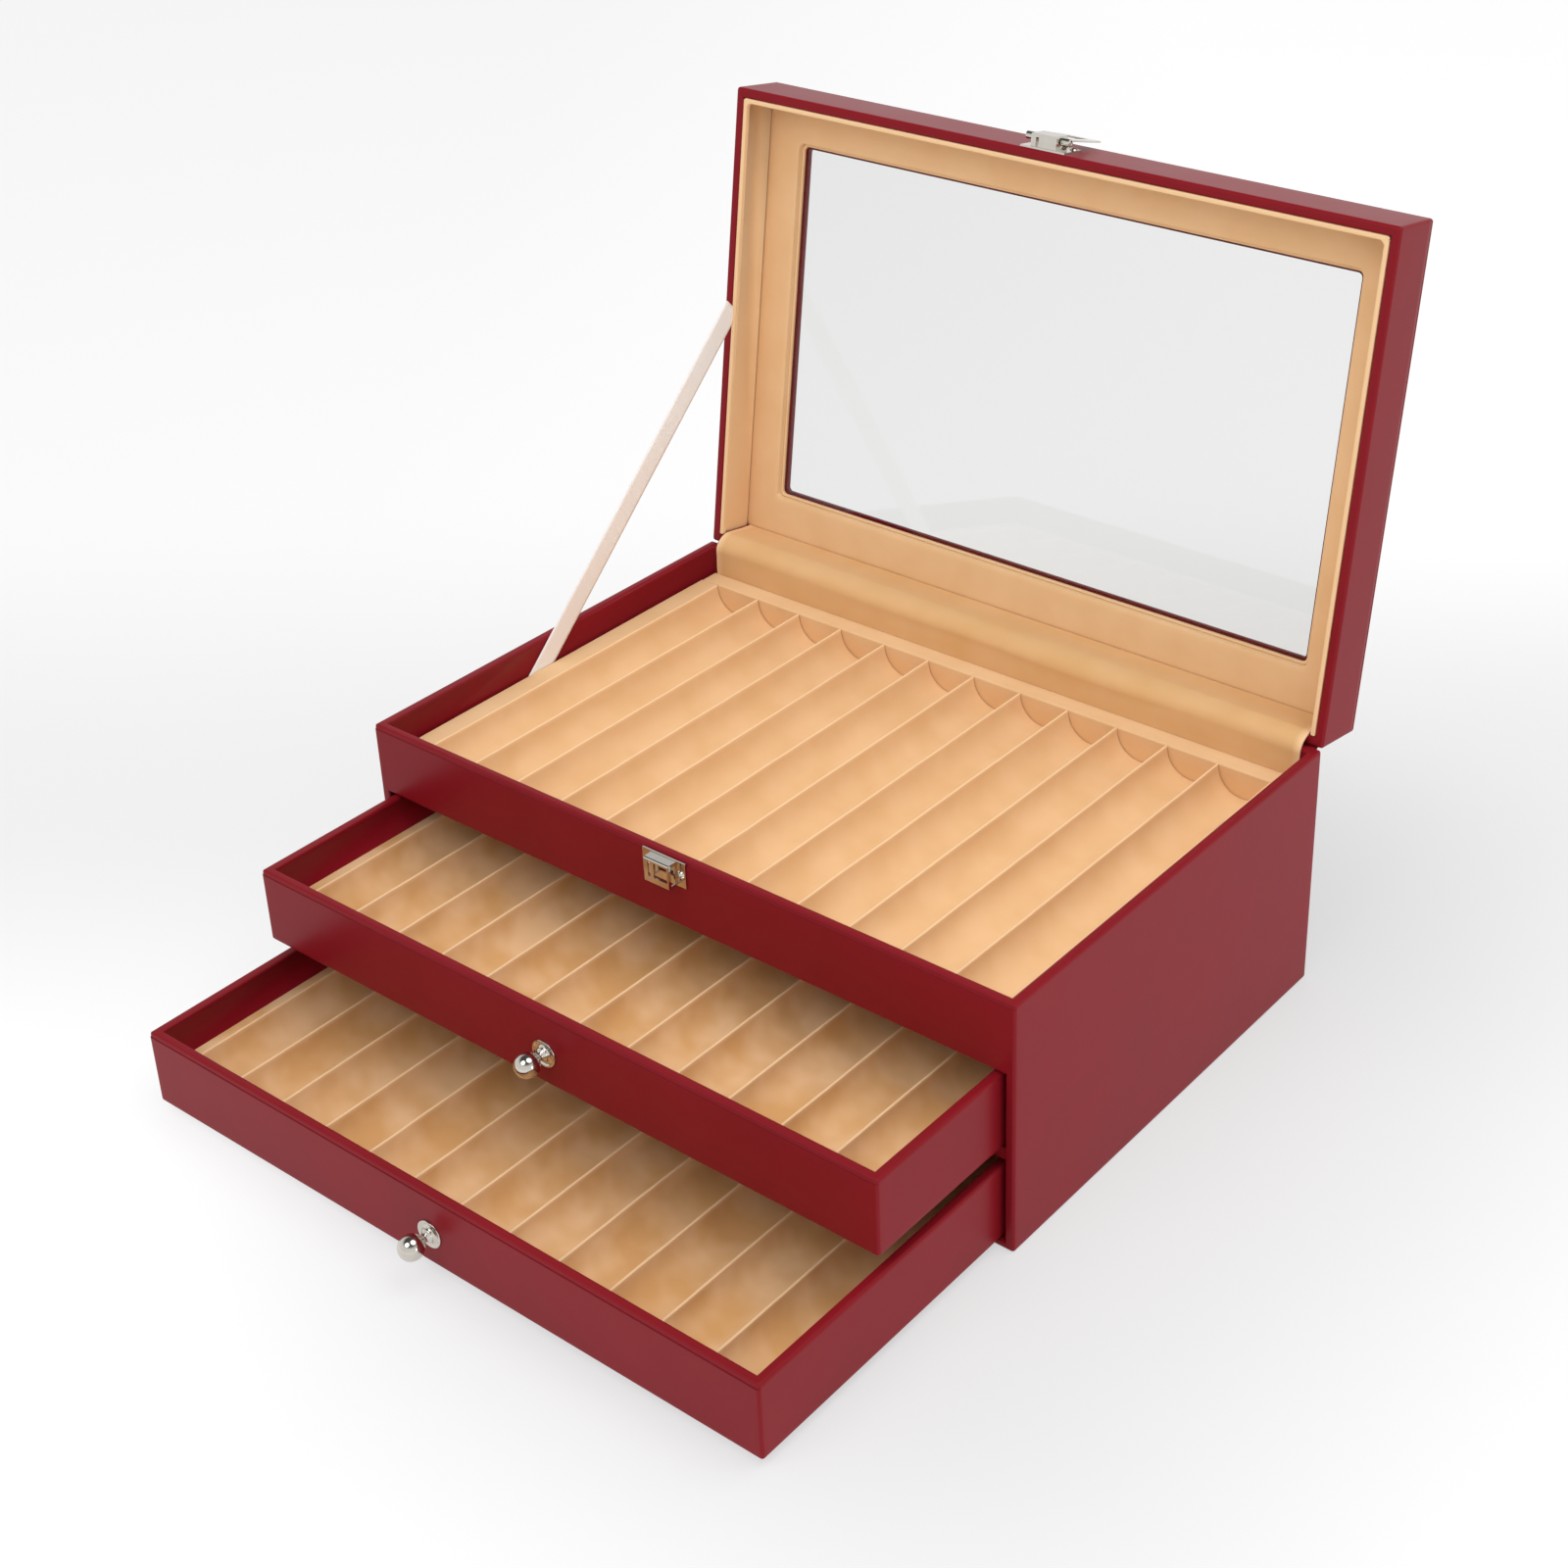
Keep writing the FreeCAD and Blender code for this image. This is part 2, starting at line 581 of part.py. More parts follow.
def hasp():
    """Swinging hasp and its pin, drawn hooked on the catch and then thrown back."""
    x_in, x_out = arm_span()
    pin = PIN_LINE
    plane = pin.y + ARM_OFFSET
    arm_back, arm_front = plane + SHEET / 2, plane - SHEET / 2
    edge = pin.z - HASP_REACH
    plate = block((-x_out, arm_front, edge), (x_out, arm_back, pin.z))

    def corner(point):
        return abs(point.z - edge) < 1e-4 and abs(abs(point.x) - x_out) < 1e-4
    plate = rounded(plate, ARM_X / 2, corner)
    window = block((-x_in, arm_front - 1, pin.z - HASP_BAR_FROM), (x_in, arm_back + 1, pin.z + 1))
    lever = plate.cut(window)
    for side in (-1, 1):
        x_low = min(side * x_in, side * x_out)
        eye = Part.makeCylinder(PIN_RADIUS + PIN_FIT + KNUCKLE, ARM_X, V(x_low, pin.y, pin.z),
                                V(1, 0, 0))
        lever = lever.fuse(eye)
    bore = Part.makeCylinder(PIN_RADIUS + PIN_FIT, 2 * x_out + 2, V(-x_out - 1, pin.y, pin.z),
                             V(1, 0, 0))
    lever = lever.removeSplitter().cut(bore)
    thrown_back = lever.rotated(PIN_LINE, V(-1, 0, 0), HASP_SHUT_ANGLE)
    keep("hasp", opened(thrown_back))

    length = 2 * (x_out - SHEET / 2)
    rod = Part.makeCylinder(PIN_RADIUS, length, V(-length / 2, pin.y, pin.z), V(1, 0, 0))
    keep("hasp_pin", opened(rod))


# ---------------------------------------------------------------- drawers
def knob_screw(z, grow):
    """Screw from inside the drawer's front into the knob, its head let in flush."""
    tip = HALF_Y + ROSETTE + KNOB_SCREW_IN
    inside = HALF_Y - BOARD
    under_head = inside + KNOB_SCREW_HEAD_HEIGHT
    outline = [(tip, 0), (tip, KNOB_SCREW + grow), (under_head, KNOB_SCREW + grow),
               (under_head, KNOB_SCREW_HEAD + grow), (inside, KNOB_SCREW_HEAD + grow), (inside, 0)]
    return turned(outline, 0, z)


def drawer(prefix, floor, out):
    """One drawer, drawn shut and then pulled out."""
    top = floor + DRAWER_HEIGHT
    x_side = DRAWER_HALF_X
    x_in = x_side - BOARD
    rear_in = DRAWER_REAR - BOARD
    knob_z = floor + DRAWER_HEIGHT / 2 - KNOB_DROP
    slide = V(0, -out, 0)

    front = block((-x_side, -HALF_Y, floor), (x_side, -INNER_Y, top))
    front = eased(front, WRAP_EDGE, face_edges(1, -HALF_Y))
    pieces = {"front": front.cut(knob_screw(knob_z, KNOB_SCREW_FIT))}
    for name, side in (("left_side", -1), ("right_side", 1)):
        x_low, x_high = sorted((side * x_in, side * x_side))
        wall = block((x_low, -INNER_Y, floor), (x_high, DRAWER_REAR, top))
        pieces[name] = eased(wall, WRAP_EDGE, edge_line(0, side * x_side, 2, top))
    rear = block((-x_in, rear_in, floor), (x_in, DRAWER_REAR, top))
    pieces["back"] = eased(rear, WRAP_EDGE, edge_line(1, DRAWER_REAR, 2, top))
    pieces["bottom"] = block((-x_in, -INNER_Y, floor), (x_in, rear_in, floor + DRAWER_BOTTOM))

    tray_low = (TRAY_GAP - x_in, TRAY_GAP - INNER_Y, floor + DRAWER_BOTTOM)
    tray_high = (x_in - TRAY_GAP, rear_in - TRAY_GAP, floor + DRAWER_BOTTOM + TRAY_HEIGHT)
    pieces.update(pen_tray(tray_low, tray_high, DRAWER_TRAY_END))
    pieces.update(knob(knob_z))
    for name, shape in pieces.items():
        keep(prefix + "_drawer_" + name, shape.translated(slide))


def knob(z):
    """Ball knob on a stem, the rosette behind it and its screw."""
    top = HALF_Y + ROSETTE
    centre = HALF_Y + BALL_OUT
    half = math.pi / (2 * BALL_FLATS)
    corner = BALL_RADIUS / math.cos(half)
    outline = [(centre + BALL_RADIUS, 0)]
    for step in range(BALL_FLATS):
        turn = half * (1 + 2 * step)
        outline.append((centre + corner * math.cos(turn), corner * math.sin(turn)))
    outline.append((centre - BALL_RADIUS, 0))
    body = turned(outline, 0, z).fuse(rod_y(KNOB_STEM, 0, z, -centre, -top)).removeSplitter()

    bore = KNOB_SCREW + KNOB_SCREW_FIT
    upper = ROSETTE_RADIUS - ROSETTE_STEP
    rim = HALF_Y + ROSETTE_RIM
    rosette = turned([(HALF_Y, bore), (HALF_Y, ROSETTE_RADIUS), (rim, ROSETTE_RADIUS),
                      (rim, upper), (top, upper), (top, bore)], 0, z)
    screw = knob_screw(z, 0)
    return {"knob": body.cut(screw), "rosette": rosette, "knob_screw": screw}


def main():
    carcass()
    top_tray()
    catch()
    lid_boards()
    soft_hinge()
    lid_ribbon()
    hasp_bracket()
    hasp()
    drawer("middle", MIDDLE_DRAWER_Z, MIDDLE_DRAWER_OUT)
    drawer("lower", LOWER_DRAWER_Z, LOWER_DRAWER_OUT)
    os.makedirs("parts", exist_ok=True)
    for name, shape in NODES.items():
        shape.exportStep("parts/" + name + ".step")


main()
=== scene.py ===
import itertools
import json
import math

import bmesh
import bpy
from mathutils import Matrix, Vector, noise


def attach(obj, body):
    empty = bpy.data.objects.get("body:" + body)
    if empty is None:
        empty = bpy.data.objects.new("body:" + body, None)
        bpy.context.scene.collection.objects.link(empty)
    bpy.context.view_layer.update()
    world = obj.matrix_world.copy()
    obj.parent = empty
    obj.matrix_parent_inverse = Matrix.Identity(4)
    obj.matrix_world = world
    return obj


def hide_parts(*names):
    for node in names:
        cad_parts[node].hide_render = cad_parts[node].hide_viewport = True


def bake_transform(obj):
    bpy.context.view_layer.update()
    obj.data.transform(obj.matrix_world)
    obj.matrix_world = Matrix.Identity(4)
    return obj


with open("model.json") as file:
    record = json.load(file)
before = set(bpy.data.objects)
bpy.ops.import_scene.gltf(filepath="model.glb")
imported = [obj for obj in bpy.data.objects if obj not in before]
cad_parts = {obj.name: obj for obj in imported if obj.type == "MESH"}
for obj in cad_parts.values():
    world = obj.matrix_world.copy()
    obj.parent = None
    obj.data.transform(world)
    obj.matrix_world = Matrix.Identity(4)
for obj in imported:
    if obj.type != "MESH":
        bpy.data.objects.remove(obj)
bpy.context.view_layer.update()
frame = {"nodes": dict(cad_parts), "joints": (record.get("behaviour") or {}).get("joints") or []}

bl_info = {
    "name": "Pen collector chest",
    "version": (1, 0, 0),
    "blender": (4, 5, 0),
    "location": "View3D > Sidebar > Pen chest",
    "description": "Leather wrap, velvet trays, glazed lid and nickel fittings of a pen chest",
    "category": "Object",
}

MM = 0.001
VIEW_TURN = 38.2         # degrees that the camera stands round to the right
# Rolled velvet edges are painted paler: pale fibres and a painted highlight.
ROLLED_FIBRES_AND_HIGHLIGHT = 0.6             # paleness of a rolled edge of velvet, where a ridge's crest has 1
LID_JOINT = next(joint for joint in frame["joints"] if joint["name"] == "lid_hinge")
FLAP_RISE, STRIP_RISE = 19.9 * MM, 18 * MM     # how far up the lid the hinge's sheets reach
HINGE = Vector(LID_JOINT["pos_m"])
LID_OPEN = math.radians(-LID_JOINT["range_deg"][0])
OPEN = (Matrix.Translation(HINGE) @ Matrix.Rotation(LID_OPEN, 4, Vector((-1, 0, 0)))
        @ Matrix.Translation(-HINGE))
SHUT = OPEN.inverted()


# ---- colours and nodes
def linear(hex_colour):
    """Linear RGB of an sRGB hex colour."""
    values = [int(hex_colour[i:i + 2], 16) / 255 for i in (1, 3, 5)]
    return tuple(v / 12.92 if v <= 0.04045 else ((v + 0.055) / 1.055) ** 2.4 for v in values)


def add(tree, kind, inputs=None, **settings):
    """One node of a tree, its settings, and its inputs: values, or what feeds them.

    A node that feeds a socket does so from its first live output.
    """
    node = tree.nodes.new(kind)
    for name, value in settings.items():
        setattr(node, name, value)
    for name, value in (inputs or {}).items():
        socket = node.inputs[name]
        if isinstance(value, bpy.types.Node):
            value = next(output for output in value.outputs if output.enabled)
        if isinstance(value, bpy.types.NodeSocket):
            tree.links.new(value, socket)
        elif socket.type == "RGBA" and len(value) == 3:
            socket.default_value = (*value, 1.0)
        else:
            socket.default_value = value
    return node


def finish(name):
    """Build a material on its first use: paint(tree, where) gives its last shader."""
    def decorate(paint):
        def get():
            material = bpy.data.materials.get(name)
            if material is None:
                material = bpy.data.materials.new(name)
                material.use_nodes = True
                tree = material.node_tree
                tree.nodes.clear()
                where = add(tree, "ShaderNodeTexCoord").outputs["Object"]
                add(tree, "ShaderNodeOutputMaterial", {"Surface": paint(tree, where)})
            return material
        return get
    return decorate


def per(millimetres):
    """Texture scale that gives a pattern of that size."""
    return 1 / (millimetres * MM)


# ---- settings
def colour_property(name, description, hex_colour):
    """Setting for a colour, given as sRGB hex."""
    return bpy.props.FloatVectorProperty(name=name, description=description,
                                         subtype="COLOR", default=linear(hex_colour))


def length_property(name, description, millimetres):
    """Setting for a length, given in millimetres."""
    return bpy.props.FloatProperty(name=name, description=description, unit="LENGTH",
                                   default=millimetres * MM)


class LeatherSettings(bpy.types.PropertyGroup):
    """Crimson leather wrap of the boards."""
    colour: colour_property("Leather", "Colour of the dyed leather", "#871621")
    dark: colour_property("Leather, dark", "Darker dye in the hollows of the grain", "#79121B")
    grain: length_property("Grain", "Size of one pebble of the grain", 0.9)
    edge: length_property("Wrapped edge", "Rounding where the leather turns over a board", 1.4)
    band: length_property("Rim band", "Height of the turned-in band above each front's skin", 2.3)
    step: length_property("Skin", "Thickness of the outer skin that stops below that band", 0.5)
    groove: length_property("Lid groove", "Depth of the groove round the lid", 0.4)
    groove_drop: length_property("Groove drop", "Lid's outer face to its groove", 2.0)
    corner: length_property("Window corner", "Rounding of the window's corners", 2.0)


class VelvetSettings(bpy.types.PropertyGroup):
    """Tan velvet of the trays and the lid."""
    colour: colour_property("Velvet", "Colour of the pile brushed up", "#EBC497")
    # The shade colour serves the nap patches and the painted shade on the flap and in the
    # drawers.
    shade: colour_property("Velvet, shade", "Colour of the pile brushed down", "#D8A86F")
    # The crest colour is pale fibres and a painted highlight along ridges and cut edges.
    crest: colour_property("Velvet, crest", "Pale fibres along ridges and cut edges", "#F2CDA0")
    patch: length_property("Nap patches", "Size of the areas where the pile lies one way", 22)
    flap: length_property("Flap", "Thickness of the velvet flap over the hinge", 0.8)
    bend: length_property("Flap bend", "Radius of the flap's bend", 7.5)
    lining: length_property("Wall lining", "Velvet on the lid's walls", 1.0)
    lip: length_property("Lip", "Thickness of the rolled lip at the lid's rim", 2.1)
    lip_height: length_property("Lip height", "Height of that lip", 2.6)


class TraySettings(bpy.types.PropertyGroup):
    """Row of pen slots."""
    slots: bpy.props.IntProperty(
        name="Slots", description="Pen slots in one tray", default=12, min=1, max=20)
    pitch: length_property("Slot pitch", "Ridge to ridge", 25.8)
    ridge: length_property("Ridge", "Thickness of a ridge at its crest", 1.2)
    depth: length_property("Slot depth", "Crest to the deepest line of a slot", 13.0)
    # The crest's pale fibres and painted highlight fade out over this depth.
    worn: length_property("Worn crest", "Depth of the pale fibres down from a crest", 2.6)
    gap: length_property("End gap", "Between the slots' ends and the tray's", 0.45)
    strip_edge: length_property("Strip edge", "Rounding of the strips at its ends", 0.7)


class RibbonSettings(bpy.types.PropertyGroup):
    """Satin stay of the lid."""
    width: length_property("Ribbon width", "Width of the satin", 11)
    thickness: length_property("Ribbon thickness", "Thickness of the satin", 0.4)
    rib: length_property("Rib", "Spacing of the ribs woven across it, drawn coarse", 0.7)


class MetalSettings(bpy.types.PropertyGroup):
    """Nickel-plated fittings."""
    colour: colour_property("Nickel", "Colour of the plating", "#D9D4CC")
    edge: length_property("Tumbled edge", "Rounding of the pressed sheet's edges", 0.14)
    neck: length_property("Knob neck", "Radius of the knobs' stems", 1.9)
    dome: length_property("Screw head", "Height of the small screws' round heads", 1.1)


class StageSettings(bpy.types.PropertyGroup):
    """Studio around the chest."""
    floor: colour_property("Floor", "Paper that the chest stands on", "#F8F8F8")
    lamp: bpy.props.FloatProperty(
        name="Key lamp", description="Power of the large soft lamp", unit="POWER", default=11.0)
    sky: bpy.props.FloatProperty(
        name="Fill", description="Strength of the white surroundings as light", default=0.70)


def settings(name):
    """One group of settings of the scene."""
    return getattr(bpy.context.scene, name)


# ---- materials
@finish("dyed leather, semi-gloss")
def leather(tree, where):
    """Dyed bonded leather, pressed with a fine grain and finished semi-gloss.

    The eye gets a deep crimson with a soft reflection of the pale surroundings, which
    turns it pink where it is seen at a slant.
    """
    look = settings("pen_leather")
    cloud = add(tree, "ShaderNodeTexNoise", {"Vector": where, "Scale": per(45), "Detail": 3.0})
    grain = add(tree, "ShaderNodeTexVoronoi", {
        "Vector": where, "Scale": 1 / look.grain, "Randomness": 1.0})
    pores = add(tree, "ShaderNodeTexNoise", {"Vector": where, "Scale": per(0.5), "Detail": 2.0})
    warp = add(tree, "ShaderNodeTexNoise", {"Vector": where, "Scale": per(22), "Detail": 1.0})
    dye = add(tree, "ShaderNodeMix", {
        "Factor": cloud, "A": look.dark, "B": look.colour}, data_type="RGBA")
    gloss = add(tree, "ShaderNodeMapRange", {"Value": cloud, "To Min": 0.28, "To Max": 0.38})
    soft = add(tree, "ShaderNodeBump", {"Height": warp, "Strength": 0.12, "Distance": 0.6 * MM})
    fine = add(tree, "ShaderNodeBump", {
        "Height": grain, "Normal": soft, "Strength": 0.10, "Distance": 0.05 * MM})
    pored = add(tree, "ShaderNodeBump", {
        "Height": pores, "Normal": fine, "Strength": 0.10, "Distance": 0.03 * MM})
    return add(tree, "ShaderNodeBsdfPrincipled", {
        "Base Color": dye, "Roughness": gloss, "Normal": pored, "IOR": 1.5,
        "Specular IOR Level": 0.12})


@finish("tan flocked velvet")
def velvet(tree, where):
    """Tan flocked velvet glued over foam and board.

    Matt, with a pale bloom at grazing angles, and patches where the pile lies the other way.
    Painted shade: the patches are stronger and darker on average in the drawers, and the
    flap is darkened toward the shade colour. Ridges and cut edges get pale fibres and a
    painted highlight (the crest attribute).
    """
    look = settings("pen_velvet")
    nap = add(tree, "ShaderNodeTexNoise", {
        "Vector": where, "Scale": 1 / look.patch, "Detail": 2.0, "Roughness": 0.5})
    # Mottling and painted shade: where marked, the worn range gives stronger patches, darker on
    # average.
    nap_mottling_and_shade = add(tree, "ShaderNodeAttribute", attribute_name="nap_mottling_and_shade")
    even = add(tree, "ShaderNodeMapRange", {
        "Value": nap, "From Min": 0.3, "From Max": 0.7, "To Min": 0.66, "To Max": 0.92})
    worn = add(tree, "ShaderNodeMapRange", {
        "Value": nap, "From Min": 0.36, "From Max": 0.64, "To Min": 0.05, "To Max": 0.95})
    lay = add(tree, "ShaderNodeMix", {
        "Factor": nap_mottling_and_shade.outputs["Fac"], "A": even, "B": worn}, data_type="FLOAT")
    # Painted shade: the down attribute darkens a piece toward the shade colour.
    flap_painted_shade = add(tree, "ShaderNodeAttribute", attribute_name="down")
    down = add(tree, "ShaderNodeMath", {0: lay, 1: flap_painted_shade.outputs["Fac"]}, operation="SUBTRACT")
    pile = add(tree, "ShaderNodeTexNoise", {"Vector": where, "Scale": per(0.45), "Detail": 2.0})
    # Pale fibres and painted highlight: the crest attribute paints ridges, lips, beads and hems
    # paler.
    crest = add(tree, "ShaderNodeAttribute", attribute_name="crest")
    # This mix carries the nap patches and the painted shade.
    brushed = add(tree, "ShaderNodeMix", {
        "Factor": down, "A": look.shade, "B": look.colour}, data_type="RGBA")
    with_crest_fibres_and_highlight = add(tree, "ShaderNodeMix", {
        "A": brushed, "Factor": crest.outputs["Fac"], "B": look.crest}, data_type="RGBA")
    bump = add(tree, "ShaderNodeBump", {"Height": pile, "Strength": 0.35, "Distance": 0.12 * MM})
    return add(tree, "ShaderNodeBsdfPrincipled", {
        "Base Color": with_crest_fibres_and_highlight, "Normal": bump, "Roughness": 0.95, "Specular IOR Level": 0.15,
        "Sheen Weight": 0.35, "Sheen Roughness": 0.45, "Sheen Tint": linear("#FFE9C8")})


@finish("cream satin ribbon")
def satin(tree, where):
    """Cream polyester satin, woven with fine ribs across its width.

    Nearly white with a soft shine, and faint lines across.
    """
    along = add(tree, "ShaderNodeAttribute", attribute_name="along")
    turns = add(tree, "ShaderNodeMath", {
        0: along.outputs["Fac"],
        1: 2 * math.pi / settings("pen_ribbon").rib}, operation="MULTIPLY")
    ribs = add(tree, "ShaderNodeMath", {0: turns}, operation="SINE")
    stain = add(tree, "ShaderNodeTexNoise", {"Vector": where, "Scale": per(30), "Detail": 2.0})
    tone = add(tree, "ShaderNodeMix", {
        "Factor": stain, "A": linear("#F0EAE6"), "B": linear("#FAF7F4")}, data_type="RGBA")
    bump = add(tree, "ShaderNodeBump", {"Height": ribs, "Strength": 0.25, "Distance": 0.05 * MM})
    return add(tree, "ShaderNodeBsdfPrincipled", {
        "Base Color": tone, "Normal": bump, "Roughness": 0.42, "Sheen Weight": 0.2,
        "Sheen Roughness": 0.4})


@finish("polished nickel plating")
def nickel(tree, where):
    """Nickel plating on pressed steel and turned brass, polished in a tumbler.

    Bright mirror with faint waviness, and a little dull where fingers touch it.
    """
    look = settings("pen_metal")
    haze = add(tree, "ShaderNodeTexNoise", {"Vector": where, "Scale": per(3), "Detail": 3.0})
    rough = add(tree, "ShaderNodeMapRange", {"Value": haze, "To Min": 0.06, "To Max": 0.20})
    bump = add(tree, "ShaderNodeBump", {"Height": haze, "Strength": 0.05, "Distance": 0.05 * MM})
    tone = add(tree, "ShaderNodeMix", {
        "Factor": haze, "A": linear("#C4BEB4"), "B": look.colour}, data_type="RGBA")
    return add(tree, "ShaderNodeBsdfPrincipled", {
        "Base Color": tone, "Roughness": rough, "Normal": bump, "Metallic": 1.0})


@finish("float glass")
def glass(tree, where):
    """Clear float glass: see-through, faintly grey, with a trace of dust on it."""
    dust = add(tree, "ShaderNodeTexNoise", {"Vector": where, "Scale": per(35), "Detail": 5.0})
    smear = add(tree, "ShaderNodeMapRange", {
        "Value": dust, "From Min": 0.45, "From Max": 0.8, "To Min": 0.0, "To Max": 0.03})
    return add(tree, "ShaderNodeBsdfPrincipled", {
        "Roughness": smear, "Base Color": linear("#E8E9E8"), "IOR": 1.36,
        "Transmission Weight": 1.0})


def seen(tree):
    """1 for camera, glossy and transmission rays, 0 for light on the object."""
    path = add(tree, "ShaderNodeLightPath")
    value = path.outputs["Is Camera Ray"]
    for ray in ("Is Glossy Ray", "Is Transmission Ray"):
        value = add(tree, "ShaderNodeMath", {0: value, 1: path.outputs[ray]}, operation="MAXIMUM")
    return value


@finish("white paper sweep")
def paper(tree, where):
    """Matt white paper: bright, a painted shadow beside the chest, a painted grey band behind."""
    turn = add(tree, "ShaderNodeVectorRotate", {
        "Vector": where, "Angle": -math.radians(VIEW_TURN)}, rotation_type="Z_AXIS")
    lie = add(tree, "ShaderNodeSeparateXYZ", {"Vector": turn})
    # Painted shade: the floor's glow dims to a grey band behind the chest, then brightens further
    # back, more on the right.
    near = add(tree, "ShaderNodeMapRange", {
        "Value": lie.outputs["Y"], "From Min": -0.13, "From Max": 0.13, "To Min": 1.0,
        "To Max": 0.80}, interpolation_type="SMOOTHSTEP")
    right = add(tree, "ShaderNodeMapRange", {
        "Value": lie.outputs["X"], "From Min": -0.3, "From Max": 0.3, "To Min": 0.13,
        "To Max": 0.22})
    far = add(tree, "ShaderNodeMapRange", {
        "Value": lie.outputs["Y"], "To Max": right, "From Min": 0.14,
        "From Max": 0.5}, interpolation_type="SMOOTHSTEP")
    sweep = add(tree, "ShaderNodeMath", {0: near, 1: far})
    # Painted shadow: the glow darkens softly beside the chest's right side; no lamp casts it.
    shadow_centre, shadow_half = (0.13, -0.04, 0), (0.06, 0.13, 0)
    beside = where
    for step, by in (("SUBTRACT", shadow_centre), ("ABSOLUTE", (0, 0, 0)),
                     ("SUBTRACT", shadow_half), ("MAXIMUM", (0, 0, 0))):
        beside = add(tree, "ShaderNodeVectorMath", {
            0: beside, 1: by}, operation=step).outputs["Vector"]
    away = add(tree, "ShaderNodeVectorMath", {0: beside}, operation="LENGTH")
    painted_side_shadow = add(tree, "ShaderNodeMapRange", {
        "Value": away, "From Max": 0.27, "To Min": 0.74,
        "To Max": 1.0}, interpolation_type="SMOOTHSTEP")
    tone = add(tree, "ShaderNodeMath", {0: sweep, 1: painted_side_shadow}, operation="MULTIPLY")
    plain = add(tree, "ShaderNodeBsdfDiffuse", {"Color": settings("pen_stage").floor})
    shaded = add(tree, "ShaderNodeBsdfDiffuse", {"Color": (0.26, 0.26, 0.26)})
    glow = add(tree, "ShaderNodeEmission", {"Color": tone, "Strength": 0.76})
    bright = add(tree, "ShaderNodeAddShader", {0: shaded, 1: glow})
    return add(tree, "ShaderNodeMixShader", {0: seen(tree), 1: plain, 2: bright})


# ---- mesh tools
def node_box(*names, shut=False):
    """Corners of CAD nodes, for the lid's as it lies when shut."""
    turn = SHUT if shut else Matrix.Identity(4)
    points = [turn @ v.co for name in names for v in frame["nodes"][name].data.vertices]
    return [Vector([pick(p[i] for p in points) for i in range(3)]) for pick in (min, max)]


def carved(xs, ys, zs, solid, corners_at=(), radius=0.0):
    """Closed skin of the grid cells that solid names, its convex edges marked to be rounded.

    The upright edges at the (x, y) of corners_at are rounded to the radius.
    """
    bm = bmesh.new()
    grid = (sorted(xs), sorted(ys), sorted(zs))
    corners = {}

    def corner(key):
        if key not in corners:
            corners[key] = bm.verts.new([grid[axis][key[axis]] for axis in range(3)])
        return corners[key]

    cells = set()
    for cell in itertools.product(*(range(len(line) - 1) for line in grid)):
        if solid(*[(grid[axis][n] + grid[axis][n + 1]) / 2 for axis, n in enumerate(cell)]):
            cells.add(cell)
    for cell in sorted(cells):
        for axis in range(3):
            for side in (0, 1):
                beside = list(cell)
                beside[axis] += 2 * side - 1
                if tuple(beside) in cells:
                    continue
                ring = []
                for b, c in ((0, 0), (1, 0), (1, 1), (0, 1)):
                    key = list(cell)
                    key[axis] += side
                    key[(axis + 1) % 3] += b
                    key[(axis + 2) % 3] += c
                    ring.append(corner(tuple(key)))
                bm.faces.new(ring if side else ring[::-1])
    bmesh.ops.dissolve_limit(bm, angle_limit=0.01, verts=bm.verts, edges=bm.edges)
    upright = [e for e in bm.edges if any(
        (v.co.xy - Vector(spot)).length < 1e-6 for v in e.verts for spot in corners_at)
        and (e.verts[0].co.xy - e.verts[1].co.xy).length < 1e-6]
    if upright:
        bmesh.ops.bevel(bm, geom=upright, offset=radius, segments=6, profile=0.5,
                        affect="EDGES", clamp_overlap=False)
    bm.normal_update()
    weight = bm.edges.layers.float.new("bevel_weight_edge")
    for edge in bm.edges:
        sharp = len(edge.link_faces) == 2 and edge.calc_face_angle(0) > 0.5 and edge.is_convex
        edge[weight] = 1.0 if sharp else 0.0
    return bm


def lines(low, high, *walls):
    """Grid lines at both ends and at each wall's thickness in from them."""
    return [low, high] + [spot for wall in walls for spot in (low + wall, high - wall)]


def block(low, high):
    """Closed skin of a plain box."""
    return carved(*zip(low, high), lambda x, y, z: True)


def baked(thing):
    """Turn an object with modifiers into a plain mesh."""
    depsgraph = bpy.context.evaluated_depsgraph_get()
    mesh = bpy.data.meshes.new_from_object(thing.evaluated_get(depsgraph))
    thing.modifiers.clear()
    thing.data = mesh
    return thing


def placed(name, data):
    """New object of the scene."""
    thing = bpy.data.objects.new(name, data)
    bpy.context.scene.collection.objects.link(thing)
    return thing


def built(name, bm, material):
    """Object of a bmesh, at the origin, smooth and with its material."""
    mesh = bpy.data.meshes.new(name)
    bm.to_mesh(mesh)
    bm.free()
    mesh.materials.append(material)
    mesh.shade_smooth()
    return placed(name, mesh)


def bevelled(thing, width, segments=4, by_weight=True, reshape=None):
    """Round the marked edges, work the skin and keep the flats flat."""
    bevel = thing.modifiers.new("Edges", "BEVEL")
    bevel.width = width
    bevel.segments = segments
    bevel.limit_method = "WEIGHT" if by_weight else "ANGLE"
    bevel.angle_limit = math.radians(35)
    bevel.use_clamp_overlap = not by_weight
    if reshape:
        baked(thing)
        bm = bmesh.new()
        bm.from_mesh(thing.data)
        reshape(bm)
        bm.to_mesh(thing.data)
        bm.free()
    thing.modifiers.new("Normals", "WEIGHTED_NORMAL").keep_sharp = True
    return baked(thing)


def seated(thing, body, slot, *nodes):
    """Let a finished piece ride on its body and stand for its nodes."""
    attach(thing, body)
    if nodes:
        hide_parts(*nodes)
    return thing


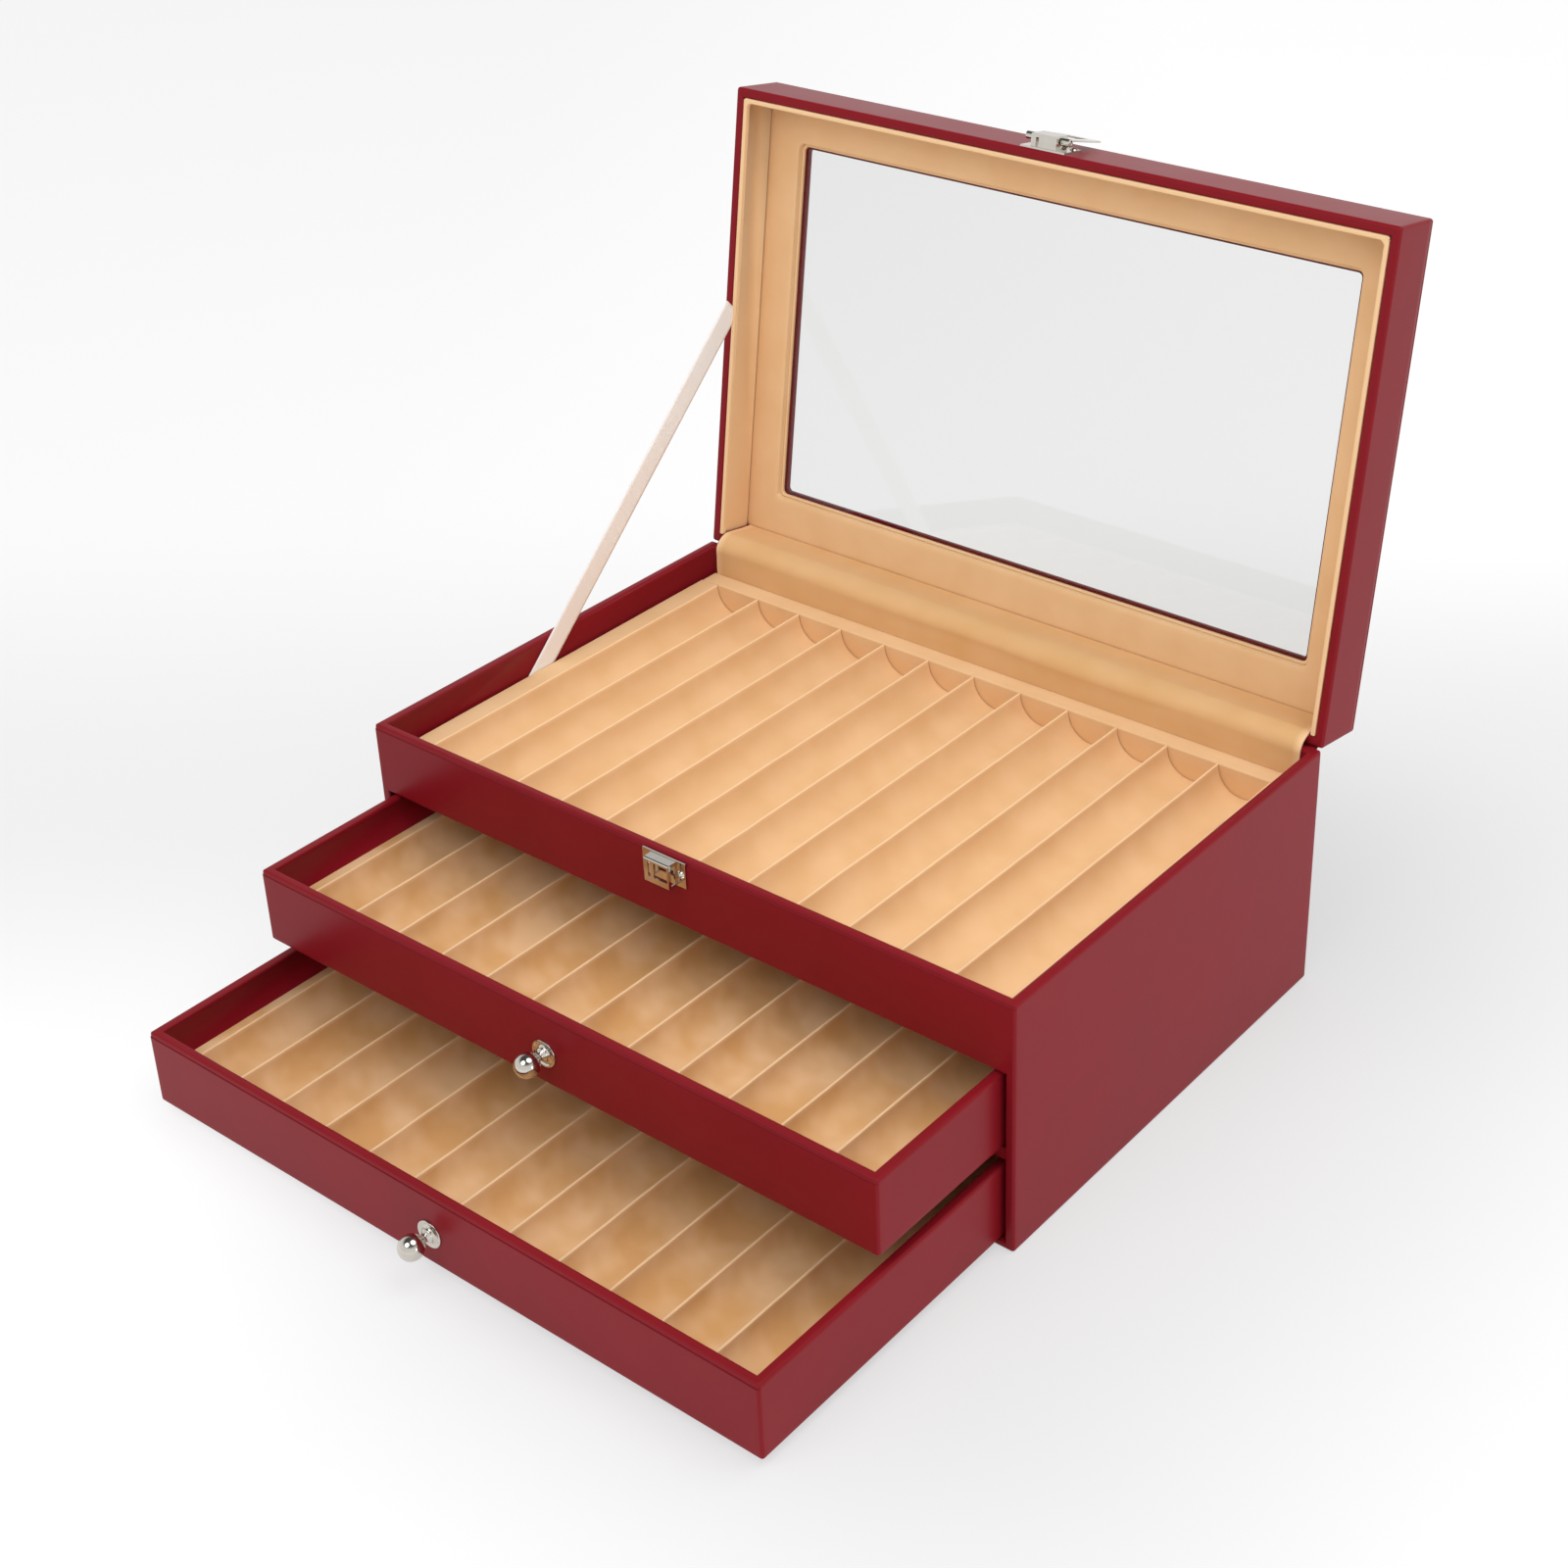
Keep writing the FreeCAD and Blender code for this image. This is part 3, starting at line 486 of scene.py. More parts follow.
def painted(node, material):
    """Give a CAD node that stays as it is its finish."""
    mesh = frame["nodes"][node].data
    mesh.materials.clear()
    mesh.materials.append(material)


def mark(mesh, name, value_of):
    """Point attribute of a mesh, from a function of the point."""
    layer = mesh.attributes.get(name) or mesh.attributes.new(name, "FLOAT", "POINT")
    layer.data.foreach_set("value", [value_of(v.co) for v in mesh.vertices])


def bridge(bm, first, second):
    """Faces between two rings of points, either of which may be a single point."""
    for step in range(max(len(first), len(second))):
        ring = [first[step % len(first)], first[(step + 1) % len(first)],
                second[(step + 1) % len(second)], second[step % len(second)]]
        bm.faces.new([v for i, v in enumerate(ring) if v not in ring[:i]])


def lathe(outline, centre, sides=48):
    """Solid turned about a line along Y, from points (distance out in front, radius)."""
    bm = bmesh.new()
    rings = []
    for out, radius in outline:
        turns = [2 * math.pi * step / sides for step in range(sides if radius > 1e-7 else 1)]
        ring = [(radius * math.cos(turn), -out, radius * math.sin(turn)) for turn in turns]
        rings.append([bm.verts.new(centre + Vector(point)) for point in ring])
    for first, second in zip(rings, rings[1:]):
        bridge(bm, first, second)
    bmesh.ops.recalc_face_normals(bm, faces=bm.faces)
    return bm


def arc(centre_out, radius, start, end, steps):
    """Points (distance out, radius) of a ball's outline between two angles in degrees."""
    turns = [math.radians(start + (end - start) * step / steps) for step in range(steps + 1)]
    return [(centre_out + radius * math.cos(turn), radius * math.sin(turn)) for turn in turns]


def sheet(rows, across, point_of):
    """Closed sheet of two sides, from point_of(row, share of the width, side)."""
    bm = bmesh.new()
    upper, lower = ([[bm.verts.new(point_of(row, step / across, side))
                      for step in range(across + 1)] for row in range(rows)] for side in (1, -1))
    for a, b, c, d in zip(upper, upper[1:], lower, lower[1:]):
        for j in range(across):
            bm.faces.new((a[j], a[j + 1], b[j + 1], b[j]))
            bm.faces.new((c[j], d[j], d[j + 1], c[j + 1]))
        bm.faces.new((a[0], b[0], d[0], c[0]))
        bm.faces.new((b[-1], a[-1], c[-1], d[-1]))
    for j in range(across):
        bm.faces.new((upper[0][j + 1], upper[0][j], lower[0][j], lower[0][j + 1]))
        bm.faces.new((upper[-1][j], upper[-1][j + 1], lower[-1][j + 1], lower[-1][j]))
    bmesh.ops.recalc_face_normals(bm, faces=bm.faces)
    return bm


def swept(path, width_from, width_to, thickness, across=24, sag=None):
    """Sheet of even thickness along a (y, z) path, from one x to the other."""
    ends = [path[0]] + path + [path[-1]]

    def point_of(row, share, side):
        along = (Vector((0, *ends[row + 2])) - Vector((0, *ends[row]))).normalized()
        x = width_from + (width_to - width_from) * share
        lift = sag(x, row / (len(path) - 1)) if sag else 0
        return Vector((x, *path[row])) + Vector((0, -along.z, along.y)) * (
            side * thickness / 2 + lift)
    return sheet(len(path), across, point_of)


# ---- geometry nodes
def repeat_tree(name, material):
    """Copies of one shape in a row along X, joined into one mesh with its material."""
    tree = bpy.data.node_groups.new(name, "GeometryNodeTree")
    face = tree.interface
    for label, in_out, kind in (("Shape", "INPUT", "Geometry"), ("Copies", "INPUT", "Int"),
                                ("First", "INPUT", "Float"), ("Pitch", "INPUT", "Float"),
                                ("Row", "OUTPUT", "Geometry")):
        face.new_socket(label, in_out=in_out, socket_type="NodeSocket" + kind)
    source = tree.nodes.new("NodeGroupInput")
    start = add(tree, "ShaderNodeCombineXYZ", {"X": source.outputs["First"]})
    stride = add(tree, "ShaderNodeCombineXYZ", {"X": source.outputs["Pitch"]})
    line = add(tree, "GeometryNodeMeshLine", {
        "Count": source.outputs["Copies"], "Start Location": start,
        "Offset": stride}, mode="OFFSET")
    copies = add(tree, "GeometryNodeInstanceOnPoints", {
        "Points": line, "Instance": source.outputs["Shape"]})
    real = add(tree, "GeometryNodeRealizeInstances", {"Geometry": copies})
    joined = add(tree, "GeometryNodeMergeByDistance", {"Geometry": real, "Distance": 0.01 * MM})
    coated = add(tree, "GeometryNodeSetMaterial", {"Geometry": joined, "Material": material})
    add(tree, "NodeGroupOutput", {"Row": coated})
    return tree


def repeated(thing, tree, **inputs):
    """Run a repeat tree on an object and keep the plain mesh."""
    row = thing.modifiers.new("Row", "NODES")
    row.node_group = tree
    for item in tree.interface.items_tree:
        if item.in_out == "INPUT" and item.name in inputs:
            row[item.identifier] = inputs[item.name]
    return baked(thing)


# ---- leather wraps
def cut(bm, *heights):
    """Level loops of edges all round a mesh."""
    for z in heights:
        bmesh.ops.bisect_plane(bm, geom=bm.verts[:] + bm.edges[:] + bm.faces[:],
                               plane_co=(0, 0, z), plane_no=(0, 0, 1))


def front_ledge(face, top):
    """The front's outer skin stops on a small ledge below the rim."""
    look = settings("pen_leather")
    foot = top - look.band
    slope = 0.1 * MM

    def reshape(bm):
        cut(bm, foot, foot + slope)
        for vert in bm.verts:
            near = 1 - (vert.co.y - face) / look.edge
            if near > 0 and vert.co.z > foot + slope / 2:
                vert.co.y += look.step * near
    return reshape


def seam(corner, z):
    """Groove around a box that is centred on the origin in x and y."""
    look = settings("pen_leather")
    floor, mouth = 0.12 * MM, 0.20 * MM

    def reshape(bm):
        cut(bm, z - mouth, z - floor, z + floor, z + mouth)
        for vert in bm.verts:
            if abs(vert.co.z - z) > (floor + mouth) / 2:
                continue
            for axis in (0, 1):
                near = 1 - (corner[axis] - abs(vert.co[axis])) / look.edge
                if near > 0:
                    vert.co[axis] -= math.copysign(look.groove * near, vert.co[axis])
    return reshape


def wrapped(name, body, parts, bm, reshape):
    """Leather skin of a body's boards, rounded where it turns over an edge."""
    wrap = bevelled(built(name, bm, leather()), settings("pen_leather").edge, reshape=reshape)
    return seated(wrap, body, "leather_wrap", *parts)


class PENCHEST_OT_wrap_body(bpy.types.Operator):
    """Wrap the chest's boards in one leather skin"""
    bl_idname = "penchest.wrap_body"
    bl_label = "Wrap the chest"

    def execute(self, context):
        parts = ("base_panel", "left_side_panel", "right_side_panel", "back_panel", "front_apron")
        low, high = node_box("left_side_panel", "right_side_panel")
        wall = node_box("left_side_panel")[1].x - low.x
        base = node_box("base_panel")[1].z
        apron = node_box("front_apron")[0].z

        def solid(x, y, z):
            if z < base:
                return True
            side = x < low.x + wall or x > high.x - wall
            return side or y > high.y - wall or (y < low.y + wall and z > apron)
        bm = carved(lines(low.x, high.x, wall), lines(low.y, high.y, wall),
                    (low.z, base, apron, high.z), solid)
        wrapped("chest_wrap", "chest", parts, bm, front_ledge(low.y, high.z))
        for name in ("divider_shelf", "tray_shelf"):
            painted(name, leather())
        return {"FINISHED"}


class PENCHEST_OT_wrap_drawers(bpy.types.Operator):
    """Wrap both drawers, each in its own leather skin"""
    bl_idname = "penchest.wrap_drawers"
    bl_label = "Wrap the drawers"

    def execute(self, context):
        for body in ("middle_drawer", "lower_drawer"):
            parts = [body + end for end in ("_front", "_left_side", "_right_side", "_back",
                                            "_bottom")]
            low, high = node_box(*parts)
            wall = node_box(body + "_front")[1].y - low.y
            bottom = node_box(body + "_bottom")[1].z

            def solid(x, y, z):
                inside = (low.x + wall < x < high.x - wall and low.y + wall < y < high.y - wall)
                return z < bottom or not inside
            bm = carved(lines(low.x, high.x, wall), lines(low.y, high.y, wall),
                        (low.z, bottom, high.z), solid)
            wrapped(body + "_wrap", body, parts, bm, front_ledge(low.y, high.z))
        return {"FINISHED"}


class PENCHEST_OT_wrap_lid(bpy.types.Operator):
    """Wrap the lid's walls and its window panel, and glaze it"""
    bl_idname = "penchest.wrap_lid"
    bl_label = "Wrap the lid"

    def execute(self, context):
        parts = ("lid_left_wall", "lid_right_wall", "lid_front_wall", "lid_back_wall",
                 "lid_window_panel")
        low, high = node_box(*parts, shut=True)
        wall = node_box("lid_left_wall", shut=True)[1].x - low.x
        panel = node_box("lid_window_panel", shut=True)[0].z
        pane_low, pane_high = node_box("window_pane", shut=True)
        lap = 4 * MM
        left, right = pane_low.x + lap, pane_high.x - lap
        front, rear = pane_low.y + lap, pane_high.y - lap
        look = settings("pen_leather")

        def solid(x, y, z):
            if z > panel:
                return not (left < x < right and front < y < rear)
            return not (low.x + wall < x < high.x - wall and low.y + wall < y < high.y - wall)
        bm = carved(lines(low.x, high.x, wall) + [left, right],
                    lines(low.y, high.y, wall) + [front, rear], (low.z, panel, high.z), solid,
                    [(x, y) for x in (left, right) for y in (front, rear)], look.corner)
        wrap = wrapped("lid_wrap", "lid", parts, bm, seam(high, high.z - look.groove_drop))
        wrap.data.transform(OPEN)
        painted("window_pane", glass())
        return {"FINISHED"}


# ---- velvet
def slot_outline():
    """(x, depth below the crest, crest) across one slot, from ridge to ridge."""
    tray = settings("pen_tray")
    radius = (tray.pitch - tray.ridge) / 2
    tip = tray.ridge / 2
    left = [(-tray.pitch / 2 + tip * math.cos(math.radians(a)),
             tip * (1 - math.sin(math.radians(a)))) for a in (90, 70, 50, 30, 10)]
    centre, steps = tray.depth - radius, 24
    turns = [math.pi * step / steps for step in range(steps + 1)]
    bowl = [(-radius * math.cos(turn), centre + radius * math.sin(turn)) for turn in turns]
    right = [(-x, down) for x, down in reversed(left)]
    # Ridge tops are painted paler: pale fibres and a painted highlight, fading down to the worn
    # depth.
    return [(x, down, max(0.0, 1 - down / tray.worn) ** 1.5) for x, down in left + bowl + right]


def slot_cell(y_from, y_to, crest_z, floor_z):
    """One slot with its underside and ends, its sides open to the next one."""
    bm = bmesh.new()
    shade = bm.verts.layers.float.new("crest")
    outline = slot_outline()
    rows = 40
    top = []
    for row in range(rows + 1):
        y = y_from + (y_to - y_from) * row / rows
        line = []
        for x, down, crest in outline:
            vert = bm.verts.new((x, y, crest_z - down))
            vert[shade] = crest
            line.append(vert)
        top.append(line)
    for i in range(rows):
        for j in range(len(outline) - 1):
            bm.faces.new((top[i][j], top[i][j + 1], top[i + 1][j + 1], top[i + 1][j]))
    ends = []
    for line, turn in ((top[0], 1), (top[-1], -1)):
        feet = [bm.verts.new((v.co.x, v.co.y, floor_z)) for v in line]
        for j in range(len(line) - 1):
            bm.faces.new((line[j], feet[j], feet[j + 1], line[j + 1])[::turn])
        ends.append(feet)
    first, last = ends
    for j in range(len(first) - 1):
        bm.faces.new((first[j], last[j], last[j + 1], first[j + 1]))
    return bm


def add_margins(insert, low, high):
    """Flat margins left and right of the row of slots."""
    tray = settings("pen_tray")
    half = tray.slots * tray.pitch / 2
    bm = bmesh.new()
    bm.from_mesh(insert.data)
    for x_from, x_to in ((low.x, -half), (half, high.x)):
        part = block((x_from, low.y + tray.gap, low.z), (x_to, high.y - tray.gap, high.z))
        flank = bpy.data.meshes.new("flank")
        part.to_mesh(flank)
        part.free()
        bm.from_mesh(flank)
        bpy.data.meshes.remove(flank)
    bm.to_mesh(insert.data)
    bm.free()
    insert.data.shade_smooth()
    insert.data.set_sharp_from_angle(angle=math.radians(50))


def ruffle(insert):
    """Give the glued velvet its slight unevenness."""
    waves = 45               # to the metre
    for vert in insert.data.vertices:
        spot = vert.co * waves
        vert.co.x += 0.18 * MM * noise.noise(spot)
        vert.co.z += 0.12 * MM * (noise.noise(spot * 1.7 + Vector((7, 3, 1))) - 0.4)


class PENCHEST_OT_line_trays(bpy.types.Operator):
    """Velvet inserts with their slots, and the strips that close them"""
    bl_idname = "penchest.line_trays"
    bl_label = "Line the trays"

    def execute(self, context):
        tray = settings("pen_tray")
        tree = repeat_tree("Pen slots", velvet())
        for prefix, body in (("top", "chest"), ("middle_drawer", "middle_drawer"),
                             ("lower_drawer", "lower_drawer")):
            node = prefix + "_pen_tray"
            low, high = node_box(node)
            y_from, y_to = low.y + tray.gap, high.y - tray.gap
            cell = built(node + "_velvet", slot_cell(y_from, y_to, high.z, low.z), velvet())
            first = -(tray.slots - 1) * tray.pitch / 2
            insert = repeated(cell, tree, Copies=tray.slots, First=first, Pitch=tray.pitch)
            add_margins(insert, low, high)
            ruffle(insert)
            # Drawer trays: strong mottling, darker on average as painted shade; the chest's tray
            # nearly even.
            nap_mottling_and_shade = 0.15 if body == "chest" else 1.0
            mark(insert.data, "nap_mottling_and_shade", lambda p: nap_mottling_and_shade)
            seated(insert, body, "velvet", node)
            for end in ("front", "rear"):
                name = "%s_tray_%s_strip" % (prefix, end)
                bm = block(*node_box(name))
                strip = bevelled(built(name + "_velvet", bm, velvet()), tray.strip_edge)
                seated(strip, body, "velvet", name)
        return {"FINISHED"}


def rounded(half, radius, along=30, around=6):
    """Points around a rectangle with rounded corners."""
    points = []
    centres = [Vector((x * (half[0] - radius), y * (half[1] - radius)))
               for x, y in ((1, -1), (1, 1), (-1, 1), (-1, -1))]
    for index, centre in enumerate(centres):
        for step in range(around + 1):
            turn = math.pi / 2 * (index - 1 + step / around)
            arm = radius * Vector((math.cos(turn), math.sin(turn)))
            points.append(centre + arm)
        goal = centres[(index + 1) % 4] + arm
        points += [points[-1].lerp(goal, step / along) for step in range(1, along)]
    return points


def line_window():
    """Padded frame round the window, inside the lid."""
    low, high = node_box("window_lining", shut=True)
    pane_high = node_box("window_pane", shut=True)[1]
    lap, corner, bead = 2.8 * MM, 2.4 * MM, (0.01, 0.055)
    inner = (pane_high.x - lap, pane_high.y - lap)
    outer = (high.x, high.y)
    thickness = high.z - low.z
    outline = [(0.0, 0.0), (0.0, 0.18), (0.008, 0.30), (0.02, 0.35), (0.052, 0.37),
               (0.056, 0.2), (0.064, 0.2), (0.068, 0.80), (0.076, 0.91), (0.1, 0.97),
               (0.2, 0.99), (0.5, 1.0), (0.8, 1.0), (0.93, 0.98), (0.98, 0.93),
               (0.995, 0.84), (1.0, 0.62), (1.0, 0.0)]
    bm = bmesh.new()
    shade = bm.verts.layers.float.new("crest")
    loops = []
    for s, rise in outline:
        half = [inner[i] + (outer[i] - inner[i]) * s for i in (0, 1)]
        loop = []
        for x, y in rounded(half, corner):
            wave = 0.06 * MM * noise.noise(Vector((x, y, 0)) * 60) if rise else 0
            vert = bm.verts.new((x, y, high.z - rise * thickness - wave))
            # The bead along the padding's inner edge is painted paler: pale fibres and a painted
            # highlight.
            vert[shade] = ROLLED_FIBRES_AND_HIGHLIGHT if bead[0] < s < bead[1] else 0.0
            loop.append(vert)
        loops.append(loop)
    for first, second in zip(loops, loops[1:] + loops[:1]):
        bridge(bm, first, second)
    bmesh.ops.recalc_face_normals(bm, faces=bm.faces)
    pad = built("window_padding", bm, velvet())
    pad.data.transform(OPEN)
    seated(pad, "lid", "velvet", "window_lining")


def line_walls():
    """Velvet on the lid's walls, with a rolled lip at its rim."""
    low, high = node_box("lid_wall_lining", shut=True)
    look = settings("pen_velvet")
    top = low.z + look.lip_height

    def solid(x, y, z):
        thick = look.lip if z < top else look.lining
        return x < low.x + thick or x > high.x - thick or y < low.y + thick
    corner, edge = 2.6 * MM, 0.55 * MM
    spots = [(side * (high.x - deep), low.y + deep)
             for side in (1, -1) for deep in (0, look.lining, look.lip)]
    bm = carved(lines(low.x, high.x, look.lining, look.lip),
                (low.y, low.y + look.lining, low.y + look.lip, high.y),
                (low.z, top, high.z), solid, spots, corner)
    cover = bevelled(built("lid_wall_velvet", bm, velvet()), edge)
    # The rolled lip is painted paler: pale fibres and a painted highlight.
    mark(cover.data, "crest", lambda p: ROLLED_FIBRES_AND_HIGHLIGHT if p.z < top else 0.0)
    cover.data.transform(OPEN)
    seated(cover, "lid", "velvet", "lid_wall_lining")


class PENCHEST_OT_line_lid(bpy.types.Operator):
    """Padded window frame and the velvet on the lid's walls"""
    bl_idname = "penchest.line_lid"
    bl_label = "Line the lid"

    def execute(self, context):
        line_window()
        line_walls()
        return {"FINISHED"}


# ---- soft hinge and ribbon
def lid_point(y, rise):
    """(y, z) where a point of the shut lid stands with the lid open."""
    point = OPEN @ Vector((0, y, HINGE.z + rise))
    return point.y, point.z


def bent_path(start, corner, end, radius, steps=14, run=10):
    """Middle line of a sheet with one rounded bend, as (y, z) points."""
    a, b, c = (Vector((0, *p)) for p in (start, corner, end))
    into, out = (a - b).normalized(), (c - b).normalized()
    half = into.angle(out) / 2
    reach = radius / math.tan(half)
    first, last = b + into * reach, b + out * reach
    centre = b + (into + out).normalized() * (radius / math.sin(half))
    points = [a.lerp(first, i / run) for i in range(run)]
    for step in range(steps + 1):
        arm = (first - centre).lerp(last - centre, step / steps)
        points.append(centre + arm.normalized() * radius)
    points += [last.lerp(c, (i + 1) / run) for i in range(run)]
    return [(p.y, p.z) for p in points]


def hung(thing, node):
    """Fix a sheet in place between the chest and the lid, and stand for its node."""
    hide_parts(node)
    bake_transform(thing)


def hinge_line(node, y, meets, rise, bend):
    """(y, z) line up the chest at y, and up the lid from where it meets that plane."""
    on_lid = lid_point(y, meets)
    corner = on_lid[1] + (on_lid[0] - y) * math.tan(LID_OPEN - math.pi / 2)
    return bent_path((y, node_box(node)[0].z), (y, corner), lid_point(y, rise), bend)


def hang_flap():
    """Velvet flap over the hinge, inside."""
    half = node_box("hinge_lining")[1].x
    look = settings("pen_velvet")
    wall_gap, hem = 0.2 * MM, 1.4 * MM
    y = node_box("top_tray_rear_strip")[1].y + wall_gap - look.flap / 2
    path = hinge_line("hinge_lining", y, look.lip_height, FLAP_RISE, look.bend)

    def folds(x, t):
        wobble = noise.noise(Vector((x * 12, t * 3, 0)))
        ends = min(1.0, t * 8, (1 - t) * 8)
        return 0.22 * MM * ends * (math.sin(t * 19 + wobble * 2.5) * 0.5 + wobble)
    bm = swept(path, -half, half, look.flap, across=80, sag=folds)
    flap = built("hinge_flap", bm, velvet())
    flap.data.set_sharp_from_angle(angle=math.radians(60))
    # Painted shade: the flap is darkened toward the shade colour; its hems get pale fibres and a
    # painted highlight.
    mark(flap.data, "down", lambda p: 0.5)
    mark(flap.data, "crest", lambda p: max(0.0, 1 - (half - abs(p.x)) / hem))
    hung(flap, "hinge_lining")


def hang_strip():
    """Leather strip over the hinge, outside."""
    low, high = node_box("leather_hinge")
    thickness, bend = 0.6 * MM, 2 * MM
    y = HINGE.y + thickness / 2
    path = hinge_line("leather_hinge", y, 0, STRIP_RISE, bend)
    bm = swept(path, low.x, high.x, thickness, across=40)
    strip = built("hinge_strip", bm, leather())
    strip.data.set_sharp_from_angle(angle=math.radians(60))
    hung(strip, "leather_hinge")


class PENCHEST_OT_hang_hinge(bpy.types.Operator):
    """Velvet flap inside and leather strip outside, which together are the hinge"""
    bl_idname = "penchest.hang_hinge"
    bl_label = "Hang the soft hinge"

    def execute(self, context):
        hang_flap()
        hang_strip()
        return {"FINISHED"}


class PENCHEST_OT_hang_ribbon(bpy.types.Operator):
    """Satin ribbon that stops the lid"""
    bl_idname = "penchest.hang_ribbon"
    bl_label = "Hang the ribbon"

    def execute(self, context):
        points = [v.co for v in frame["nodes"]["lid_ribbon"].data.vertices]
        low, high = node_box("lid_ribbon")
        end = 8 * MM
        a, b = (sum(tip, Vector()) / len(tip) for tip in (
            [p for p in points if p.z < low.z + end], [p for p in points if p.z > high.z - end]))
        a.x = b.x = (low.x + high.x) / 2
        along = (b - a).normalized()
        across = Vector((0, -along.z, along.y))
        look = settings("pen_ribbon")
        rows = 60

        def point_of(row, share, side):
            s, t = 2 * share - 1, row / rows
            cup = 0.06 * MM * (1 - s * s) * math.sin(t * math.pi)
            edge = 0.75 if abs(s) == 1 else 1
            point = a.lerp(b, t) + across * (s * look.width / 2)
            point.x += side * look.thickness / 2 * edge + cup
            return point
        bm = sheet(rows + 1, 8, point_of)
        ribbon = built("satin_stay", bm, satin())
        mark(ribbon.data, "along", lambda p: (p - a).dot(along))
        hung(ribbon, "lid_ribbon")
        return {"FINISHED"}


# ---- metal fittings
def tumbled(name, node, body):
    """Pressed fitting with its sheet edges softened."""
    bm = bmesh.new()
    bm.from_mesh(frame["nodes"][node].data)
    bmesh.ops.remove_doubles(bm, verts=bm.verts, dist=0.002 * MM)
    bmesh.ops.dissolve_limit(bm, angle_limit=math.radians(1), verts=bm.verts, edges=bm.edges)
    thing = built(name, bm, nickel())
    bevelled(thing, settings("pen_metal").edge, segments=2, by_weight=False)
    return seated(thing, body, "nickel", node)


def fit_screws(name, node, body, tree):
    """Slotted round heads, one pair of each plate."""
    shut = body == "lid"
    low, high = node_box(node, shut=shut)
    head = (high.z - low.z) / 2
    span = high.x - low.x - 2 * head
    height = settings("pen_metal").dome
    shank, shank_radius = 4.6 * MM, 0.85 * MM
    centre = Vector((0, low.y + height, (low.z + high.z) / 2))
    ball = (head ** 2 + height ** 2) / (2 * height)
    spread = math.degrees(math.asin(min(1.0, head / ball)))
    dome = arc(height - ball, ball, 0, spread, 8)
    bm = lathe(dome + [(0.0, head * 0.99), (-shank, shank_radius), (-shank, 0)], centre, sides=32)
    slot = 0.26 * MM         # half of the driver slot's width
    for vert in bm.verts:
        away = vert.co - centre
        if away.y < -0.35 * height and abs(away.z) < slot:
            vert.co.y += 0.4 * height
    screw = built(name, bm, nickel())
    screw.data.set_sharp_from_angle(angle=math.radians(40))
    pair = repeated(screw, tree, Copies=2, First=-span / 2, Pitch=span)
    if shut:
        pair.data.transform(OPEN)
    seated(pair, body, "nickel", node)


class PENCHEST_OT_fit_latch(bpy.types.Operator):
    """Catch on the chest, hinged hasp on the lid, and their screws"""
    bl_idname = "penchest.fit_latch"
    bl_label = "Fit the latch"

    def execute(self, context):
        tumbled("catch_pressing", "catch_plate", "chest")
        tumbled("hinge_pressing", "hasp_bracket", "lid")
        tumbled("hasp_pressing", "hasp", "hasp")
        tumbled("hinge_pin", "hasp_pin", "lid")
        tree = repeat_tree("Screw pair", nickel())
        fit_screws("catch_screw_heads", "catch_screws", "chest", tree)
        fit_screws("hasp_screw_heads", "hasp_screws", "lid", tree)
        return {"FINISHED"}


def fit_rosette(body, centre, rise, radius):
    """Disc with a rolled rim, a dished ring and a raised boss for the knob."""
    rim_and_dish = [(0, 0.1), (0.12, 0), (0.4, 0), (0.64, 0.14), (0.76, 0.48), (0.68, 0.85),
                    (0.42, 1.15), (0.24, 1.6), (0.28, 2.2), (0.6, 2.75)]
    disc = [(0, 0)] + [(out * MM, radius - inward * MM) for out, inward in rim_and_dish]
    disc += [(rise - 0.4 * MM, radius - 3.1 * MM), (rise, radius - 3.2 * MM), (rise, 0)]
    turned(body, "_rosette", disc, centre, 38)


def fit_knob(body, centre, rise):
    """Ball on a waisted stem that flares onto the boss."""
    low, high = node_box(body + "_knob")
    ball = (high.x - low.x) / 2
    neck = settings("pen_metal").neck
    join = 180 - math.degrees(math.asin(neck / ball))
    outline = arc(centre.y - low.y - ball, ball, 0, join - 3, 30)
    last = outline[-1][0]
    outline += [(last - 0.2 * MM, neck * 1.02), (last - 0.5 * MM, neck * 0.9)]
    outline += [(rise + out * MM, neck * share)
                for out, share in ((1.3, 0.94), (0.8, 1.1), (0.35, 1.4), (0, 1.55), (0, 0))]
    turned(body, "_knob", outline, centre, 60)


def turned(body, part, outline, centre, sharp_from):
    """One turned piece, its edges sharp from that angle in degrees."""
    piece = built(body + part + "_turned", lathe(outline, centre), nickel())
    piece.data.set_sharp_from_angle(angle=math.radians(sharp_from))
    seated(piece, body, "nickel", body + part)


class PENCHEST_OT_fit_knobs(bpy.types.Operator):
    """Turned ball knobs on stepped rosettes"""
    bl_idname = "penchest.fit_knobs"
    bl_label = "Fit the knobs"

    def execute(self, context):
        for body in ("middle_drawer", "lower_drawer"):
            low, high = node_box(body + "_rosette")
            centre = Vector((0, high.y, (low.z + high.z) / 2))
            fit_rosette(body, centre, high.y - low.y, (high.z - low.z) / 2)
            fit_knob(body, centre, high.y - low.y)
            painted(body + "_knob_screw", nickel())
        return {"FINISHED"}


# ---- stage
def lay_floor():
    """Round sheet of paper that reaches past the picture."""
    bm = bmesh.new()
    bmesh.ops.create_circle(bm, cap_ends=True, segments=64, radius=30)
    built("floor", bm, paper())


